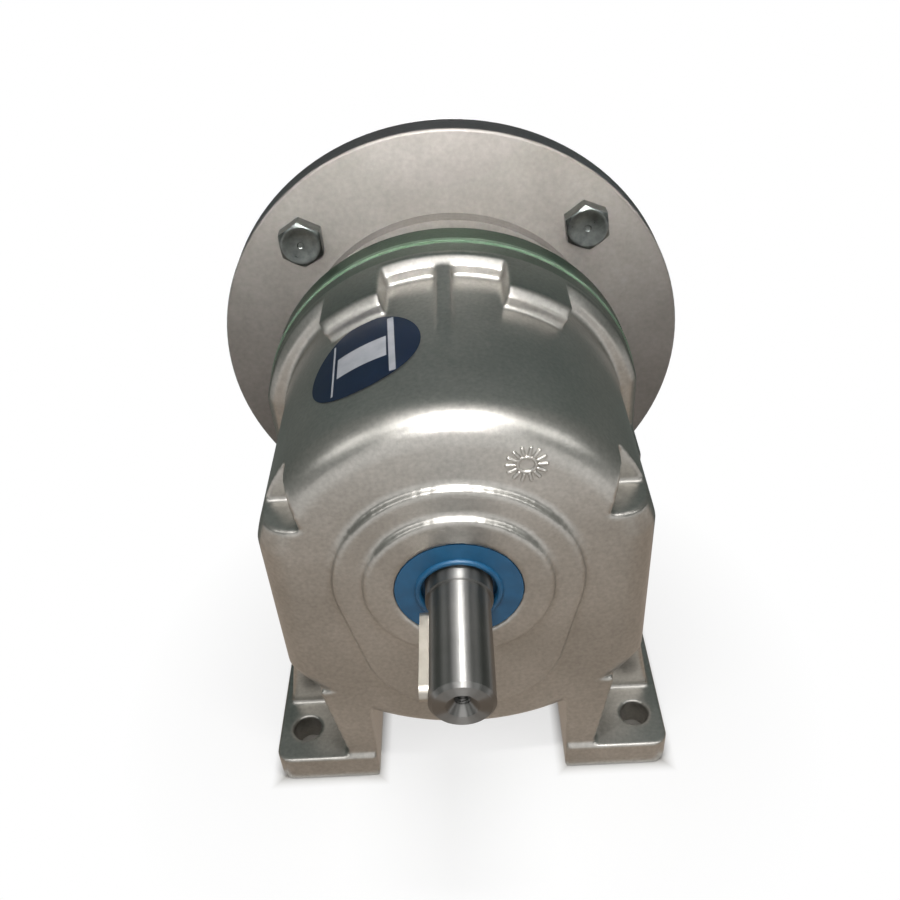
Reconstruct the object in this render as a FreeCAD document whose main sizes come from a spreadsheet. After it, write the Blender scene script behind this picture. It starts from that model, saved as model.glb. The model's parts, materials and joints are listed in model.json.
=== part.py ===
import FreeCAD, Part
import Sketcher
import math
import os
import re

# Inline helical gearbox: two coaxial shafts, an intermediate shaft below them, foot-mounted die-cast housing.
# Every piece is drawn with y along the shafts, y 0 at the front boss and z 0 on the shaft axis.

doc = FreeCAD.newDocument("inline_helical_gearbox")
dims = doc.addObject("Spreadsheet::Sheet", "dims")

SIZES = [
    # housing outside
    ("shaft_height", 108.0),
    ("body_top_radius", 67.0),
    ("body_half_width", 65.0),
    ("body_low_radius", 73.7),
    ("body_low_centre", 10.3),
    ("body_fillet", 11.0),
    ("wall_front", 5.0),
    ("wall_thickness", 9.0),
    ("body_wall", 5.0),
    ("boss_radius", 31.2),
    ("boss_step", 2.4),
    ("pad_radius", 41.3),
    ("lobe_radius", 35.0),
    ("lobe_drop", 30.0),
    ("gasket_front", 102.0),
    ("gasket_thickness", 2.0),
    ("gasket_proud", 0.4),
    ("rim_depth", 13.0),
    ("rim_reach", 7.5),
    ("rim_chamfer", 3.0),
    ("spine_width", 5.0),
    ("spine_length", 52.0),
    ("spine_rise", 4.5),
    ("spine_sink", 0.5),
    # screw bosses on the rim
    ("screw_angle", 27.0),
    ("screw_inset", 8.5),
    ("screw_side_drop", 14.0),
    ("boss_half_angle", 9.5),
    ("boss_reach", 19.0),
    ("boss_root", 9.0),
    # side recesses
    ("recess_floor", 25.5),
    ("recess_height", 26.0),
    ("recess_inner", 48.5),
    ("recess_depth", 16.0),
    ("recess_lean", 6.0),
    ("recess_back_low", 33.0),
    ("recess_back_high", 41.5),
    # feet
    ("foot_inner", 37.0),
    ("foot_outer", 77.0),
    ("foot_thickness", 13.0),
    ("foot_front", 3.0),
    ("foot_length", 99.0),
    ("foot_hole_radius", 5.5),
    ("foot_hole_inset", 15.0),
    ("foot_hole_edge", 11.0),
    ("foot_web", 11.0),
    ("foot_pocket", 28.0),
    ("foot_corner", 6.0),
    ("foot_root_share", 0.62),
    ("gusset_inset", 3.0),
    ("gusset_reach", 2.0),
    # gears and centre distance
    ("centre_distance", 44.0),
    ("wheel_teeth", 43),
    ("pinion_teeth", 14),
    ("slow_module", 1.5),
    ("slow_width", 16.0),
    ("fast_wheel_teeth", 49),
    ("fast_pinion_teeth", 19),
    ("fast_module", 1.25),
    ("fast_width", 14.0),
    ("pressure_angle", 20.0),
    ("tooth_thinning", 0.14),
    ("dedendum", 1.25),
    ("flank_low", 0.6),
    ("root_narrowing", 0.92),
    ("pinion_overhang", 2.0),
    # output shaft
    ("shaft_radius", 10.0),
    ("shaft_length", 40.0),
    ("shaft_shoulder", 4.0),
    ("shoulder_radius", 11.0),
    ("shaft_chamfer", 1.2),
    ("thread_radius", 2.5),
    ("thread_depth", 15.0),
    ("thread_mouth", 5.0),
    ("key_width", 6.0),
    ("key_height", 6.0),
    ("key_depth", 3.5),
    ("key_length", 32.0),
    ("key_inset", 3.0),
    ("collar_radius", 15.0),
    ("wheel_seat_radius", 12.0),
    ("wheel_hub_length", 4.0),
    ("wheel_hub_radius", 15.5),
    ("wheel_web_outer", 28.0),
    ("wheel_web_inner", 18.5),
    ("wheel_web_recess", 4.0),
    ("wheel_key_width", 8.0),
    ("wheel_key_height", 7.0),
    ("wheel_key_depth", 4.0),
    # output bearings and seal
    ("seal_radius", 21.0),
    ("seal_width", 7.0),
    ("seal_setback", 0.5),
    ("seal_mouth", 12.9),
    ("seal_lip_depth", 3.0),
    ("seal_lip", 1.5),
    ("seal_flesh", 4.0),
    ("out_bearing_front", 9.0),
    ("out_bearing_bore", 12.5),
    ("out_bearing_outer", 26.0),
    ("out_bearing_width", 15.0),
    ("out_bearing_gap", 14.0),
    ("hub_wall", 5.0),
    ("circlip_width", 1.5),
    ("circlip_depth", 1.4),
    ("circlip_band", 4.0),
    ("circlip_opening", 9.0),
    # intermediate shaft
    ("mid_bearing_bore", 6.0),
    ("mid_bearing_outer", 16.0),
    ("mid_bearing_width", 10.0),
    ("mid_seat_radius", 8.4),
    ("mid_shoulder_radius", 8.0),
    ("mid_shoulder_length", 3.0),
    ("mid_spacer_radius", 8.4),
    ("mid_hub_length", 2.0),
    ("mid_hub_radius", 14.0),
    ("mid_boss_wall", 4.5),
    ("mid_key_width", 5.0),
    ("mid_key_height", 5.0),
    ("mid_key_depth", 3.0),
    ("mid_oil_radius", 11.0),
    ("mid_oil_depth", 4.0),
    # input shaft and its bearings
    ("in_neck_radius", 10.0),
    ("in_collar_radius", 18.0),
    ("in_collar_width", 6.0),
    ("in_shoulder_radius", 20.0),
    ("in_shoulder_width", 2.0),
    ("in_bearing_bore", 15.0),
    ("in_bearing_outer", 27.5),
    ("in_bearing_width", 13.0),
    ("in_bearing_gap", 5.0),
    ("in_seal_width", 7.0),
    ("in_seal_lip", 2.0),
    ("in_seal_flesh", 8.0),
    ("motor_bore_radius", 9.5),
    ("motor_bore_depth", 40.0),
    ("motor_key_width", 6.0),
    ("motor_key_top", 12.3),
    # rear cover
    ("cover_rim_depth", 9.0),
    ("neck_radius", 55.0),
    ("neck_root", 3.0),
    ("tube_radius", 34.0),
    # input flange
    ("flange_front", 146.0),
    ("flange_thickness", 12.0),
    ("flange_edge", 1.2),
    ("flange_radius", 100.0),
    ("flange_boss_radius", 66.0),
    ("flange_boss_height", 7.0),
    ("spigot_radius", 65.0),
    ("spigot_depth", 8.0),
    ("flange_screw_circle", 44.5),
    ("motor_bolt_circle", 82.5),
    # fasteners
    ("cover_screw_radius", 4.0),
    ("cover_screw_flats", 13.0),
    ("cover_head_height", 5.3),
    ("cover_screw_bite", 14.0),
    ("motor_bolt_radius", 5.0),
    ("motor_bolt_flats", 17.0),
    ("motor_head_height", 6.4),
    ("motor_bolt_reach", 20.0),
    ("motor_thread_radius", 4.6),
    ("flange_screw_radius", 3.0),
    ("flange_screw_head", 5.0),
    ("flange_head_height", 6.0),
    ("flange_screw_bite", 12.0),
    ("flange_screw_socket", 2.5),
    ("flange_socket_depth", 3.5),
    # bearing proportions, as parts of the gap between bore and outside or of the width
    ("race_share", 8),
    ("shield_share", 6),
    ("dish_share", 20),
    # fits and joins
    ("join", 1.0),
    ("thread_runout", 2.0),
    ("seat_fit", 0.01),
    ("running_fit", 0.05),
    ("hole_fit", 0.25),
]

for row, (alias, value) in enumerate(SIZES, 1):
    dims.set(f"A{row}", alias)
    dims.set(f"B{row}", str(value))
    dims.setAlias(f"B{row}", alias)
doc.recompute()

# Stations along the shafts, all worked out from the sheet
GASKET_REAR = "(gasket_front + gasket_thickness)"
RIM_FRONT = "(gasket_front - rim_depth)"
WALL_REAR = "(wall_front + wall_thickness)"
FOOT_MID = "(foot_front + foot_length / 2)"
FOOT_TOP = "(foot_thickness - shaft_height)"
FOOT_HOLE_X = "(foot_outer - foot_hole_edge)"
OUT_COLLAR = "(out_bearing_front + out_bearing_width)"
OUT_REAR_BEARING = f"({OUT_COLLAR} + out_bearing_gap)"
OUT_CLIP = f"({OUT_REAR_BEARING} + out_bearing_width)"
HUB_REAR = f"({OUT_CLIP} + 2 * circlip_width)"
WHEEL_FRONT = f"({OUT_CLIP} + wheel_hub_length)"
WHEEL_REAR = f"({WHEEL_FRONT} + slow_width)"
OUT_SHAFT_REAR = f"({WHEEL_REAR} + 2 * circlip_width)"
PINION_FRONT = f"({WHEEL_FRONT} - pinion_overhang)"
PINION_REAR = f"({WHEEL_REAR} + pinion_overhang)"
MID_FRONT_BEARING = f"({PINION_FRONT} - mid_shoulder_length - mid_bearing_width)"
MID_BOSS_REAR = f"({PINION_FRONT} - mid_shoulder_length + seat_fit)"
FAST_FRONT = f"({PINION_REAR} + mid_hub_length)"
FAST_REAR = f"({FAST_FRONT} + fast_width)"
MID_REAR_BEARING = f"({GASKET_REAR} - mid_bearing_width)"
MID_BOSS_FRONT = f"({MID_REAR_BEARING} - seat_fit)"
IN_FRONT_BEARING = f"({GASKET_REAR} + in_shoulder_width)"
IN_REAR_BEARING = f"({IN_FRONT_BEARING} + in_bearing_width + in_bearing_gap)"
IN_CLIP = f"({IN_REAR_BEARING} + in_bearing_width)"
IN_SEAL = f"({IN_CLIP} + 2 * circlip_width)"
COVER_RIM_REAR = f"({GASKET_REAR} + cover_rim_depth)"
FLANGE_REAR = "(flange_front + flange_thickness)"
FLANGE_BOSS_FRONT = "(flange_front - flange_boss_height)"
IN_SHAFT_END = f"({FLANGE_REAR} - spigot_depth)"
SHAFT_TIP = "(-shaft_length - shaft_shoulder)"
KEY_START = f"({SHAFT_TIP} + key_inset)"
KEY_END = f"({KEY_START} + key_length)"

NEAR = 0.001
SUBPARTS = []


def bound(expression):
    """Point every alias in an expression at the sheet."""
    return re.sub(r"\b[a-z][a-z_0-9]*\b(?!\()", r"dims.\g<0>", expression)


def number(expression):
    """The present value of an expression over the sheet's aliases."""
    return float(dims.evalExpression(bound(expression)))


def new_body(label, drop="0"):
    """A body on the shaft axis, or below it by drop."""
    body = doc.addObject("PartDesign::Body", label)
    body.Label = label
    body.AllowCompound = True
    place_piece(body, drop)
    return body


def place_piece(piece, drop):
    """Stand a piece at its place over the foot bolt pattern."""
    piece.setExpression("Placement.Base.y", bound(f"-{FOOT_MID}"))
    piece.setExpression("Placement.Base.z", bound(f"shaft_height - {drop}"))
    SUBPARTS.append(piece)


def new_sketch(body, name, role, station="0"):
    """A sketch on an origin plane, moved along its normal to a station."""
    sketch = body.newObject("Sketcher::SketchObject", name)
    plane = [item for item in body.Origin.OriginFeatures if item.Role == role][0]
    sketch.AttachmentSupport = [(plane, "")]
    sketch.MapMode = "FlatFace"
    sketch.setExpression("AttachmentOffset.Base.z", bound(station))
    return sketch


def cross_sketch(body, name, station="0"):
    """A sketch square to the shafts at a y station, with x to the right and z up."""
    return new_sketch(body, name, "XZ_Plane", f"-({station})")


def place(sketch, geometry, point, x, y):
    """Fix a point of a sketch at x, y."""
    for kind, expression in (("DistanceX", x), ("DistanceY", y)):
        constraint = Sketcher.Constraint(kind, -1, 1, geometry, point, number(expression))
        index = sketch.addConstraint(constraint)
        sketch.setExpression(f"Constraints[{index}]", bound(expression))


def radius_of(sketch, geometry, radius):
    """Bind the radius of a circle or an arc."""
    index = sketch.addConstraint(Sketcher.Constraint("Radius", geometry, number(radius)))
    sketch.setExpression(f"Constraints[{index}]", bound(radius))


def circle(sketch, radius, x="0", y="0"):
    """A circle with its radius and centre bound."""
    centre = FreeCAD.Vector(number(x), number(y), 0)
    axis = FreeCAD.Vector(0, 0, 1)
    geometry = sketch.addGeometry(Part.Circle(centre, axis, number(radius)))
    radius_of(sketch, geometry, radius)
    place(sketch, geometry, 3, x, y)


def polygon(sketch, points):
    """A closed outline of straight lines with every corner bound."""
    corners = [FreeCAD.Vector(number(x), number(y), 0) for x, y in points]
    first = sketch.GeometryCount
    count = len(corners)
    for i in range(count):
        sketch.addGeometry(Part.LineSegment(corners[i], corners[(i + 1) % count]))
    for i in range(count):
        sketch.addConstraint(Sketcher.Constraint("Coincident", first + i, 2, first + (i + 1) % count, 1))
    for i in range(count):
        place(sketch, first + i, 1, *points[i])


def rectangle(sketch, x0, y0, x1, y1):
    """A rectangle between two opposite corners."""
    polygon(sketch, [(x0, y0), (x1, y0), (x1, y1), (x0, y1)])


def hexagon(sketch, flats, x, y):
    """A hexagon of a width across flats, with corners up and down."""
    corner = f"{flats} / 2 / cos(30)"
    polygon(sketch, [(f"{x} + {corner} * cos({60 * i + 30})", f"{y} + {corner} * sin({60 * i + 30})")
                     for i in range(6)])


def arc(sketch, centre, radius, start, end):
    """An unbound arc, anticlockwise between two angles."""
    axis = FreeCAD.Vector(0, 0, 1)
    return sketch.addGeometry(Part.ArcOfCircle(Part.Circle(centre, axis, radius), start, end))


def closed(sketch, geometries):
    """Join the end of each edge to the start of the next."""
    for one, following in zip(geometries, geometries[1:] + geometries[:1]):
        sketch.addConstraint(Sketcher.Constraint("Coincident", one, 2, following, 1))


def slot(sketch, x0, x1, half_width):
    """A round-ended slot along the sketch's x axis."""
    left, right, half = number(x0), number(x1), number(half_width)
    near = FreeCAD.Vector(left + half, 0, 0)
    far = FreeCAD.Vector(right - half, 0, 0)
    side = FreeCAD.Vector(0, half, 0)
    round_near = arc(sketch, near, half, math.pi / 2, 3 * math.pi / 2)
    bottom = sketch.addGeometry(Part.LineSegment(near - side, far - side))
    round_far = arc(sketch, far, half, -math.pi / 2, math.pi / 2)
    top = sketch.addGeometry(Part.LineSegment(far + side, near + side))
    edges = [round_near, bottom, round_far, top]
    for one, following in zip(edges, edges[1:] + edges[:1]):
        sketch.addConstraint(Sketcher.Constraint("Tangent", one, 2, following, 1))
    place(sketch, round_near, 3, f"{x0} + ({half_width})", "0")
    place(sketch, round_far, 3, f"{x1} - ({half_width})", "0")
    radius_of(sketch, round_near, half_width)
    radius_of(sketch, round_far, half_width)


def egg(sketch, grow="0"):
    """The housing's outline: a round top on the shaft axis, upright sides and a round bottom."""
    top_radius = f"body_top_radius + {grow}"
    half_width = f"body_half_width + {grow}"
    low_radius = f"body_low_radius + {grow}"
    top, half, low = number(top_radius), number(half_width), number(low_radius)
    drop = number("body_low_centre")
    top_angle = math.acos(half / top)
    low_angle = math.acos(half / low)
    top_end = top * math.sin(top_angle)
    low_end = -drop - low * math.sin(low_angle)
    crown = arc(sketch, FreeCAD.Vector(0, 0, 0), top, top_angle, math.pi - top_angle)
    left = sketch.addGeometry(Part.LineSegment(FreeCAD.Vector(-half, top_end, 0),
                                               FreeCAD.Vector(-half, low_end, 0)))
    belly = arc(sketch, FreeCAD.Vector(0, -drop, 0), low, math.pi + low_angle, 2 * math.pi - low_angle)
    right = sketch.addGeometry(Part.LineSegment(FreeCAD.Vector(half, low_end, 0),
                                                FreeCAD.Vector(half, top_end, 0)))
    closed(sketch, [crown, left, belly, right])
    place(sketch, crown, 3, "0", "0")
    place(sketch, belly, 3, "0", "-body_low_centre")
    radius_of(sketch, crown, top_radius)
    radius_of(sketch, belly, low_radius)
    for line, side in ((left, f"-({half_width})"), (right, half_width)):
        sketch.addConstraint(Sketcher.Constraint("Vertical", line))
        index = sketch.addConstraint(Sketcher.Constraint("DistanceX", -1, 1, line, 1, number(side)))
        sketch.setExpression(f"Constraints[{index}]", bound(side))


def sector(sketch, centre_drop, inner, outer, start, end):
    """A ring sector about a point on the sketch's y axis; angles from the x axis in degrees."""
    centre = FreeCAD.Vector(0, -number(centre_drop), 0)
    low, high = math.radians(number(start)), math.radians(number(end))

    def corner(radius, angle):
        return centre + FreeCAD.Vector(math.cos(angle), math.sin(angle), 0) * radius

    near, far = number(inner), number(outer)
    rim = arc(sketch, centre, far, low, high)
    side_high = sketch.addGeometry(Part.LineSegment(corner(far, high), corner(near, high)))
    root = sketch.addGeometry(Part.LineSegment(corner(near, high), corner(near, low)))
    side_low = sketch.addGeometry(Part.LineSegment(corner(near, low), corner(far, low)))
    closed(sketch, [rim, side_high, root, side_low])
    place(sketch, rim, 3, "0", f"-({centre_drop})")
    for geometry, reach, angle in ((side_high, outer, end), (root, inner, end), (side_low, inner, start)):
        place(sketch, geometry, 1, f"({reach}) * cos({angle})", f"({reach}) * sin({angle}) - ({centre_drop})")
    rim_start = f"({outer}) * cos({start})"
    index = sketch.addConstraint(Sketcher.Constraint("DistanceX", -1, 1, rim, 1, number(rim_start)))
    sketch.setExpression(f"Constraints[{index}]", bound(rim_start))


def pad(body, name, sketch, length):
    """Add material from the sketch towards the rear."""
    feature = body.newObject("PartDesign::Pad", name)
    feature.Profile = sketch
    feature.setExpression("Length", bound(length))
    feature.Reversed = True
    return feature


def pocket(body, name, sketch, length):
    """Cut from a cross sketch towards the rear, or down from a level one."""
    feature = body.newObject("PartDesign::Pocket", name)
    feature.Profile = sketch
    feature.setExpression("Length", bound(length))
    return feature


def pad_rings(body, name, start, end, outlines):
    """Pad circles, given as (radius, x, z), between two stations."""
    sketch = cross_sketch(body, f"{name}_sketch", start)
    for radius, x, z in outlines:
        circle(sketch, radius, x, z)
    return pad(body, name, sketch, f"({end}) - ({start})")


def bore(body, name, start, end, outlines):
    """Bore circles, given as (radius, x, z), between two stations."""
    sketch = cross_sketch(body, f"{name}_sketch", start)
    for radius, x, z in outlines:
        circle(sketch, radius, x, z)
    return pocket(body, name, sketch, f"({end}) - ({start})")


def revolve(body, name, points):
    """Turn a closed outline of (y, radius) points about the piece's axis."""
    sketch = new_sketch(body, f"{name}_sketch", "YZ_Plane")
    polygon(sketch, points)
    feature = body.newObject("PartDesign::Revolution", name)
    feature.Profile = sketch
    feature.ReferenceAxis = (sketch, ["H_Axis"])
    feature.Angle = 360
    return feature


def edges_at(shape, test):
    """Names of the edges whose ends and middle all pass a test."""
    names = []
    for i, edge in enumerate(shape.Edges, 1):
        first, last = edge.ParameterRange
        points = [edge.valueAt(first), edge.valueAt((first + last) / 2), edge.valueAt(last)]
        if all(test(point) for point in points):
            names.append(f"Edge{i}")
    return names


def fillet(body, name, base, radius, test):
    """Round the edges of a feature that pass a test."""
    doc.recompute()
    feature = body.newObject("PartDesign::Fillet", name)
    feature.Base = (base, edges_at(base.Shape, test))
    feature.setExpression("Radius", bound(radius))
    return feature


def chamfer(body, name, base, size, test):
    """Bevel the edges of a feature that pass a test."""
    doc.recompute()
    feature = body.newObject("PartDesign::Chamfer", name)
    feature.Base = (base, edges_at(base.Shape, test))
    feature.setExpression("Size", bound(size))
    return feature


# Six cover screws: two over the top, two on the sides and two under the belly
SCREW_RING = "(body_top_radius + rim_reach - screw_inset)"
SCREW_LOW_RING = "(body_low_radius + rim_reach - screw_inset)"
SCREW_SIDE = "(body_half_width + rim_reach - screw_inset)"
COVER_SCREWS = []
for side in ("-1", "1"):
    COVER_SCREWS.append((f"{side} * {SCREW_RING} * sin(screw_angle)", f"{SCREW_RING} * cos(screw_angle)"))
    COVER_SCREWS.append((f"{side} * {SCREW_SIDE}", "-screw_side_drop"))
    COVER_SCREWS.append((f"{side} * {SCREW_LOW_RING} * sin(screw_angle)",
                         f"-body_low_centre - {SCREW_LOW_RING} * cos(screw_angle)"))
FLANGE_SCREW_SEAT = f"({IN_SHAFT_END} - flange_head_height)"
FLANGE_SCREWS = [(f"flange_screw_circle * cos({angle})", f"flange_screw_circle * sin({angle})")
                 for angle in range(0, 360, 60)]
MOTOR_BOLTS = [(f"motor_bolt_circle * cos({angle})", f"motor_bolt_circle * sin({angle})")
               for angle in (45, 135, 225, 315)]


def past_body(point):
    """Whether a point stands out past the body's outline by more than half the rim's reach."""
    reach = number("rim_reach") / 2
    low = point.z + number("body_low_centre")
    return (abs(point.x) > number("body_half_width") + reach
            or point.z > 0 and math.hypot(point.x, point.z) > number("body_top_radius") + reach
            or low < 0 and math.hypot(point.x, low) > number("body_low_radius") + reach)


def housing_outside(body):
    """The die-cast outside: egg body, rim, screw bosses, spine and feet."""
    outline = cross_sketch(body, "body_sketch", "wall_front")
    egg(outline)
    shell = pad(body, "body_block", outline, "gasket_front - wall_front")
    front = number("wall_front")
    fillet(body, "shoulder", shell, "body_fillet", lambda point: abs(point.y - front) < NEAR)

    rim = cross_sketch(body, "rim_sketch", RIM_FRONT)
    egg(rim, "rim_reach")
    pad(body, "rim", rim, "rim_depth")

    bosses = cross_sketch(body, "screw_boss_sketch", f"{RIM_FRONT} - boss_reach")
    top = ("0", "body_top_radius - boss_root", "body_top_radius + rim_reach")
    low = ("body_low_centre", "body_low_radius - boss_root", "body_low_radius + rim_reach")
    for (drop, inner, outer), middle in ((top, "90 - screw_angle"), (top, "90 + screw_angle"),
                                         (low, "270 - screw_angle"), (low, "270 + screw_angle")):
        sector(bosses, drop, inner, outer, f"{middle} - boss_half_angle", f"{middle} + boss_half_angle")
    for side in ("-1", "1"):
        rectangle(bosses, f"{side} * (body_half_width + rim_reach)", "-screw_side_drop - screw_inset",
                  f"{side} * (body_half_width - boss_root)", "-screw_side_drop + screw_inset")
    bossed = pad(body, "screw_bosses", bosses, "boss_reach + join")
    fronts = (number(RIM_FRONT), number(f"{RIM_FRONT} - boss_reach"))
    chamfer(body, "rim_edges", bossed, "rim_chamfer",
            lambda point: min(abs(point.y - front) for front in fronts) < NEAR and past_body(point))

    spine = new_sketch(body, "spine_sketch", "YZ_Plane")
    polygon(spine, [(RIM_FRONT, "body_top_radius - body_wall"),
                    (RIM_FRONT, "body_top_radius + spine_rise"),
                    (f"{RIM_FRONT} - spine_length", "body_top_radius - spine_sink"),
                    (f"{RIM_FRONT} - spine_length", "body_top_radius - body_wall")])
    ridge = body.newObject("PartDesign::Pad", "spine")
    ridge.Profile = spine
    ridge.setExpression("Length", bound("spine_width"))
    ridge.Midplane = True

    rails = cross_sketch(body, "foot_sketch", "foot_front")
    webs = cross_sketch(body, "foot_web_sketch", "wall_front")
    gussets = cross_sketch(body, "gusset_sketch", "foot_front + foot_pocket")
    body_low = "-body_low_centre - body_low_radius * foot_root_share"
    for side in ("-1", "1"):
        rectangle(rails, f"{side} * foot_inner", "-shaft_height", f"{side} * foot_outer", FOOT_TOP)
        polygon(webs, [(f"{side} * foot_inner", f"{FOOT_TOP} - join"),
                       (f"{side} * (foot_inner + foot_web)", f"{FOOT_TOP} - join"),
                       (f"{side} * (body_half_width - foot_web)", body_low),
                       (f"{side} * foot_inner", body_low)])
        polygon(gussets, [(f"{side} * foot_inner", f"{FOOT_TOP} - join"),
                          (f"{side} * (foot_outer - gusset_inset)", f"{FOOT_TOP} - join"),
                          (f"{side} * (body_half_width + gusset_reach)", body_low),
                          (f"{side} * (body_half_width - join)", "-body_low_centre"),
                          (f"{side} * foot_inner", "-body_low_centre")])
    feet = pad(body, "foot_rails", rails, "foot_length")
    outer = number("foot_outer")
    fillet(body, "foot_corners", feet, "foot_corner", lambda point: abs(abs(point.x) - outer) < NEAR
           and abs(abs(point.y - number(FOOT_MID)) - number("foot_length") / 2) < NEAR)
    pad(body, "foot_webs", webs, "gasket_front - wall_front")
    pad(body, "gussets", gussets, "foot_length - 2 * foot_pocket")


def side_recesses(body):
    """A recess in each front shoulder, with a wall behind it inside the chamber."""
    backs = cross_sketch(body, "recess_back_sketch", f"{WALL_REAR} - join")
    recess = cross_sketch(body, "recess_sketch")
    middle = "(body_top_radius - body_wall / 2)"
    below = "recess_floor - body_wall"
    above = "recess_floor + recess_height"
    for side in ("-1", "1"):
        polygon(backs, [(f"{side} * (recess_inner - body_wall)", below),
                        (f"{side} * (body_half_width - body_wall / 2)", below),
                        (f"{side} * {middle} * cos(recess_back_low)", f"{middle} * sin(recess_back_low)"),
                        (f"{side} * {middle} * cos(recess_back_high)", f"{middle} * sin(recess_back_high)")])
        polygon(recess, [(f"{side} * recess_inner", "recess_floor"),
                         (f"{side} * (body_top_radius + body_wall)", "recess_floor"),
                         (f"{side} * (body_top_radius + body_wall)", above),
                         (f"{side} * (recess_inner + recess_lean)", above)])
    pad(body, "recess_backs", backs, f"wall_front + recess_depth + body_wall + join - {WALL_REAR}")
    pocket(body, "side_recesses", recess, "wall_front + recess_depth")


def housing_inside(body):
    """The gear chamber, the side recesses, the bearing hubs, the front pads and every bore."""
    chamber = cross_sketch(body, "chamber_sketch", WALL_REAR)
    egg(chamber, "-body_wall")
    pocket(body, "chamber", chamber, f"gasket_front - {WALL_REAR}")
    side_recesses(body)

    pad_rings(body, "output_hub", f"{WALL_REAR} - join", HUB_REAR,
              [("out_bearing_outer + hub_wall", "0", "0")])
    pad_rings(body, "intermediate_hub", f"{WALL_REAR} - join", MID_BOSS_REAR,
              [("mid_bearing_outer + mid_boss_wall", "0", "-centre_distance")])

    lobe = cross_sketch(body, "pad_sketch", "boss_step")
    tangent = math.asin((number("pad_radius") - number("lobe_radius")) / number("lobe_drop"))
    crown = arc(lobe, FreeCAD.Vector(0, 0, 0), number("pad_radius"), -tangent, math.pi + tangent)
    low_centre = FreeCAD.Vector(0, -number("lobe_drop"), 0)

    def on_circle(centre, radius, angle):
        return centre + FreeCAD.Vector(math.cos(angle), math.sin(angle), 0) * number(radius)

    origin = FreeCAD.Vector(0, 0, 0)
    left = lobe.addGeometry(Part.LineSegment(on_circle(origin, "pad_radius", math.pi + tangent),
                                             on_circle(low_centre, "lobe_radius", math.pi + tangent)))
    belly = arc(lobe, low_centre, number("lobe_radius"), math.pi + tangent, 2 * math.pi - tangent)
    right = lobe.addGeometry(Part.LineSegment(on_circle(low_centre, "lobe_radius", -tangent),
                                              on_circle(origin, "pad_radius", -tangent)))
    for one, following in ((crown, left), (left, belly), (belly, right), (right, crown)):
        lobe.addConstraint(Sketcher.Constraint("Tangent", one, 2, following, 1))
    place(lobe, crown, 3, "0", "0")
    place(lobe, belly, 3, "0", "-lobe_drop")
    radius_of(lobe, crown, "pad_radius")
    radius_of(lobe, belly, "lobe_radius")
    pad(body, "front_pad", lobe, "wall_front - boss_step + join")
    pad_rings(body, "front_boss", "0", "wall_front + join", [("boss_radius", "0", "0")])

    bore(body, "seal_bore", "0", "out_bearing_front", [("seal_radius + seat_fit", "0", "0")])
    bore(body, "output_bearing_bore", "out_bearing_front", HUB_REAR,
         [("out_bearing_outer + seat_fit", "0", "0")])
    bore(body, "circlip_groove", OUT_CLIP, f"{OUT_CLIP} + circlip_width + seat_fit",
         [("out_bearing_outer + circlip_depth", "0", "0")])
    bore(body, "intermediate_bearing_bore", MID_FRONT_BEARING, MID_BOSS_REAR,
         [("mid_bearing_outer + seat_fit", "0", "-centre_distance")])
    bore(body, "oil_pocket", f"{MID_FRONT_BEARING} - mid_oil_depth", MID_FRONT_BEARING,
         [("mid_oil_radius", "0", "-centre_distance")])
    bore(body, "screw_holes", "gasket_front - cover_screw_bite - thread_runout", "gasket_front",
         [("cover_screw_radius + running_fit", x, z) for x, z in COVER_SCREWS])

    holes = new_sketch(body, "foot_hole_sketch", "XY_Plane", FOOT_TOP)
    for side in ("-1", "1"):
        for y in ("foot_front + foot_hole_inset", "foot_front + foot_length - foot_hole_inset"):
            circle(holes, "foot_hole_radius", f"{side} * {FOOT_HOLE_X}", y)
    pocket(body, "foot_holes", holes, "foot_thickness")


def make_housing():
    """The die-cast housing with its feet."""
    body = new_body("housing")
    housing_outside(body)
    housing_inside(body)


def make_gasket():
    """The flat gasket between housing and rear cover, a little proud of both."""
    body = new_body("cover_gasket")
    sheet = cross_sketch(body, "sheet_sketch", "gasket_front")
    egg(sheet, "rim_reach + gasket_proud")
    egg(sheet, "-body_wall")
    pad(body, "sheet", sheet, "gasket_thickness")
    bore(body, "gasket_holes", "gasket_front", GASKET_REAR,
         [("cover_screw_radius + hole_fit", x, z) for x, z in COVER_SCREWS])


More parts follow.
